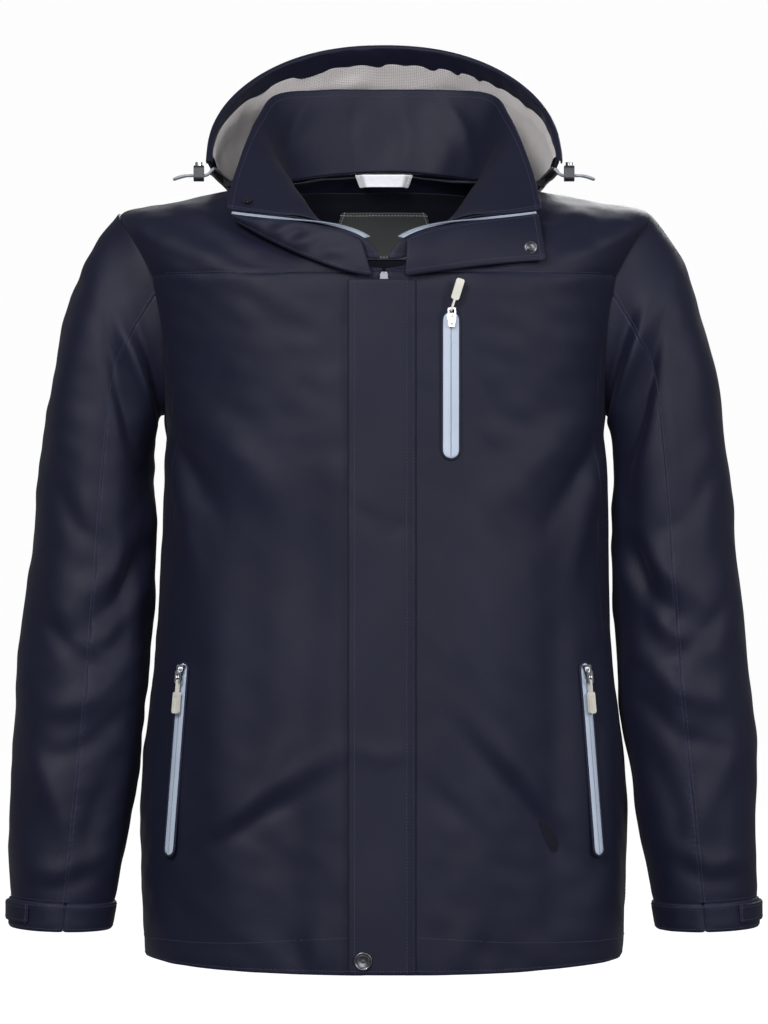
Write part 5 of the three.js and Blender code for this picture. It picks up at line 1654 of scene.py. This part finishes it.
place_piece(turned("collar_snap_dish", small_dish, dish_spot, lapel_axis, lock_moulding, 36),
            "collar_flap", "snap_metal")
print("snaps turned at", np.round(to_frame(hem_spot), 3), np.round(to_frame(lapel_spot), 3))

# %% [markdown]
# ## Topstitching
# Every sewn edge has a line or two of stitches beside it. Each line keeps a presser foot's distance
# from the panel's edge, so it follows the folds because it is read from the finished panel.

# %% Sew the seams
FOOT = 2.6  # from the seam to the first line of stitches
HEM_TURN = 24
lines = []
for node in ("front_yoke_right", "front_yoke_left"):
    lines.append(panels[node].along_edge("f", FOOT, end=0.62 if node.endswith("right") else 1.0,
                                         start=0.0 if node.endswith("right") else 0.38))
lines.append(panels["back_yoke"].along_edge("f", FOOT, start=0.13, end=0.87))
for node in ("front_panel_right", "front_panel_left", "back_panel"):
    lines.append(panels[node].along_edge("f", HEM_TURN))
    lines.append(panels[node].along_edge("f", 2.5))
lines.append(panels["back_panel"].along_edge("l", FOOT))
lines.append(panels["back_panel"].along_edge("r", FOOT))
for name, side in SIDES:
    upper, cuff = sleeves[f"sleeve_upper_{name}"], sleeves[f"cuff_{name}"]
    lines.append(upper.along_edge("l", FOOT))
    lines.append(upper.along_edge("r", FOOT))
    lines.append(upper.along_edge("f" if upper.up[-1, 0] < 0 else "t", FOOT))
    lines.append(cuff.along_edge("f", 2.4))
    lines.append(cuff.along_edge("t", 2.4))
for sheet, edges in ((guard, "t"),):
    lines.extend(sheet.along_edge(edge, 3.0) for edge in edges)
stitches = sew("body_topstitching", lines)
on_jacket(stitches, "shell_cloth")

rise_rows = len(up_outer)
outer_collar = Sheet(collar_sheet.points[:rise_rows], reference[:rise_rows], 1.5)
inner_collar = Sheet(collar_sheet.points[-len(down_inner):], reference[-len(down_inner):], 1.5)
collar_lines = [outer_collar.along_edge("t", 5), outer_collar.along_edge("f", 3)]
collar_lines += [inner_collar.along_edge(edge, inset) for edge, inset in (("f", 5), ("l", 4), ("r", 4))]
on_jacket(sew("collar_topstitching", collar_lines), "shell_cloth")

FLAP_ROWS = (("l", 6), ("r", 3), ("r", 9.5), ("f", 3))
flap_lines = [flap.along_edge(edge, inset) for edge, inset in FLAP_ROWS]
hinged(sew("storm_flap_topstitching", flap_lines), "shell_cloth", "storm_flap", *FLAP_FOLD)
lapel_lines = [lapel.along_edge("t", 5), lapel.along_edge("r", 5), lapel.along_edge("f", 3)]
hinged(sew("collar_flap_topstitching", lapel_lines), "shell_cloth", "collar_flap", *LAPEL_FOLD)
for name, side in SIDES:
    tab = sleeves[f"cuff_tab_{name}"]
    tab_seams = [tab.along_edge(edge, 2.2) for edge in "lrft"]
    place_piece(sew(f"cuff_tab_stitching_{name}", tab_seams), f"cuff_tab_{name}", "shell_cloth")
hood_lines = []
for sheet in hood_panels.values():
    edges = "l" if sheet is not hood_panels["hood_centre"] else ""
    hood_lines.extend(sheet.along_edge(edge, 2.4, start=0.06, end=0.97) for edge in edges)
hood_lines.extend([casing.along_edge("f", 2.0), casing.along_edge("t", 2.0)])
in_hood(sew("hood_topstitching", hood_lines), "shell_cloth")
label_lines = [label.along_edge(edge, 2.5) for edge in "lrft"]
on_jacket(sew("label_stitching", label_lines, pale_thread), "label_cloth")
loop_lines = [loop.along_edge(edge, inset) for inset in (3.0, 6.0) for edge in "lr"]
on_jacket(sew("loop_stitching", loop_lines, pale_thread), "loop_tape")

# %% [markdown]
# ## Finishes on the model's own metal and plastic
# Sliders, links, pullers, locks and buttons already have their true shape, because they move. They only
# need their finishes.

# %% Hardware finishes
FINISH_OF = {
    "main_zip_slider": snap_metal,
    "slider": bright_metal,
    "link": bright_metal,
    "puller": puller_moulding,
    "button": bright_metal,
    "box": bright_metal,
    "stud": snap_metal,
}
for node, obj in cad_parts.items():
    finish = next((made for word, made in FINISH_OF.items() if node.endswith(word) or word in node), None)
    if finish is None and node.startswith("cord_lock"):
        finish = lock_moulding
    if finish is None:
        continue
    for material_slot in obj.material_slots:
        material_slot.material = finish
print("hardware finished")

# %% [markdown]
# ## The size against the model
# The ratio of the looks' box to the model's box is printed. The looks may stand proud of the model
# by a few millimetres of cloth, and no more.

# %% Sizes and finish
visual_low, visual_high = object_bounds()
visual_size, cad_size = np.array(visual_high) - visual_low, np.array(cad_high) - cad_low
print("grows by", np.round(visual_size / cad_size, 3))
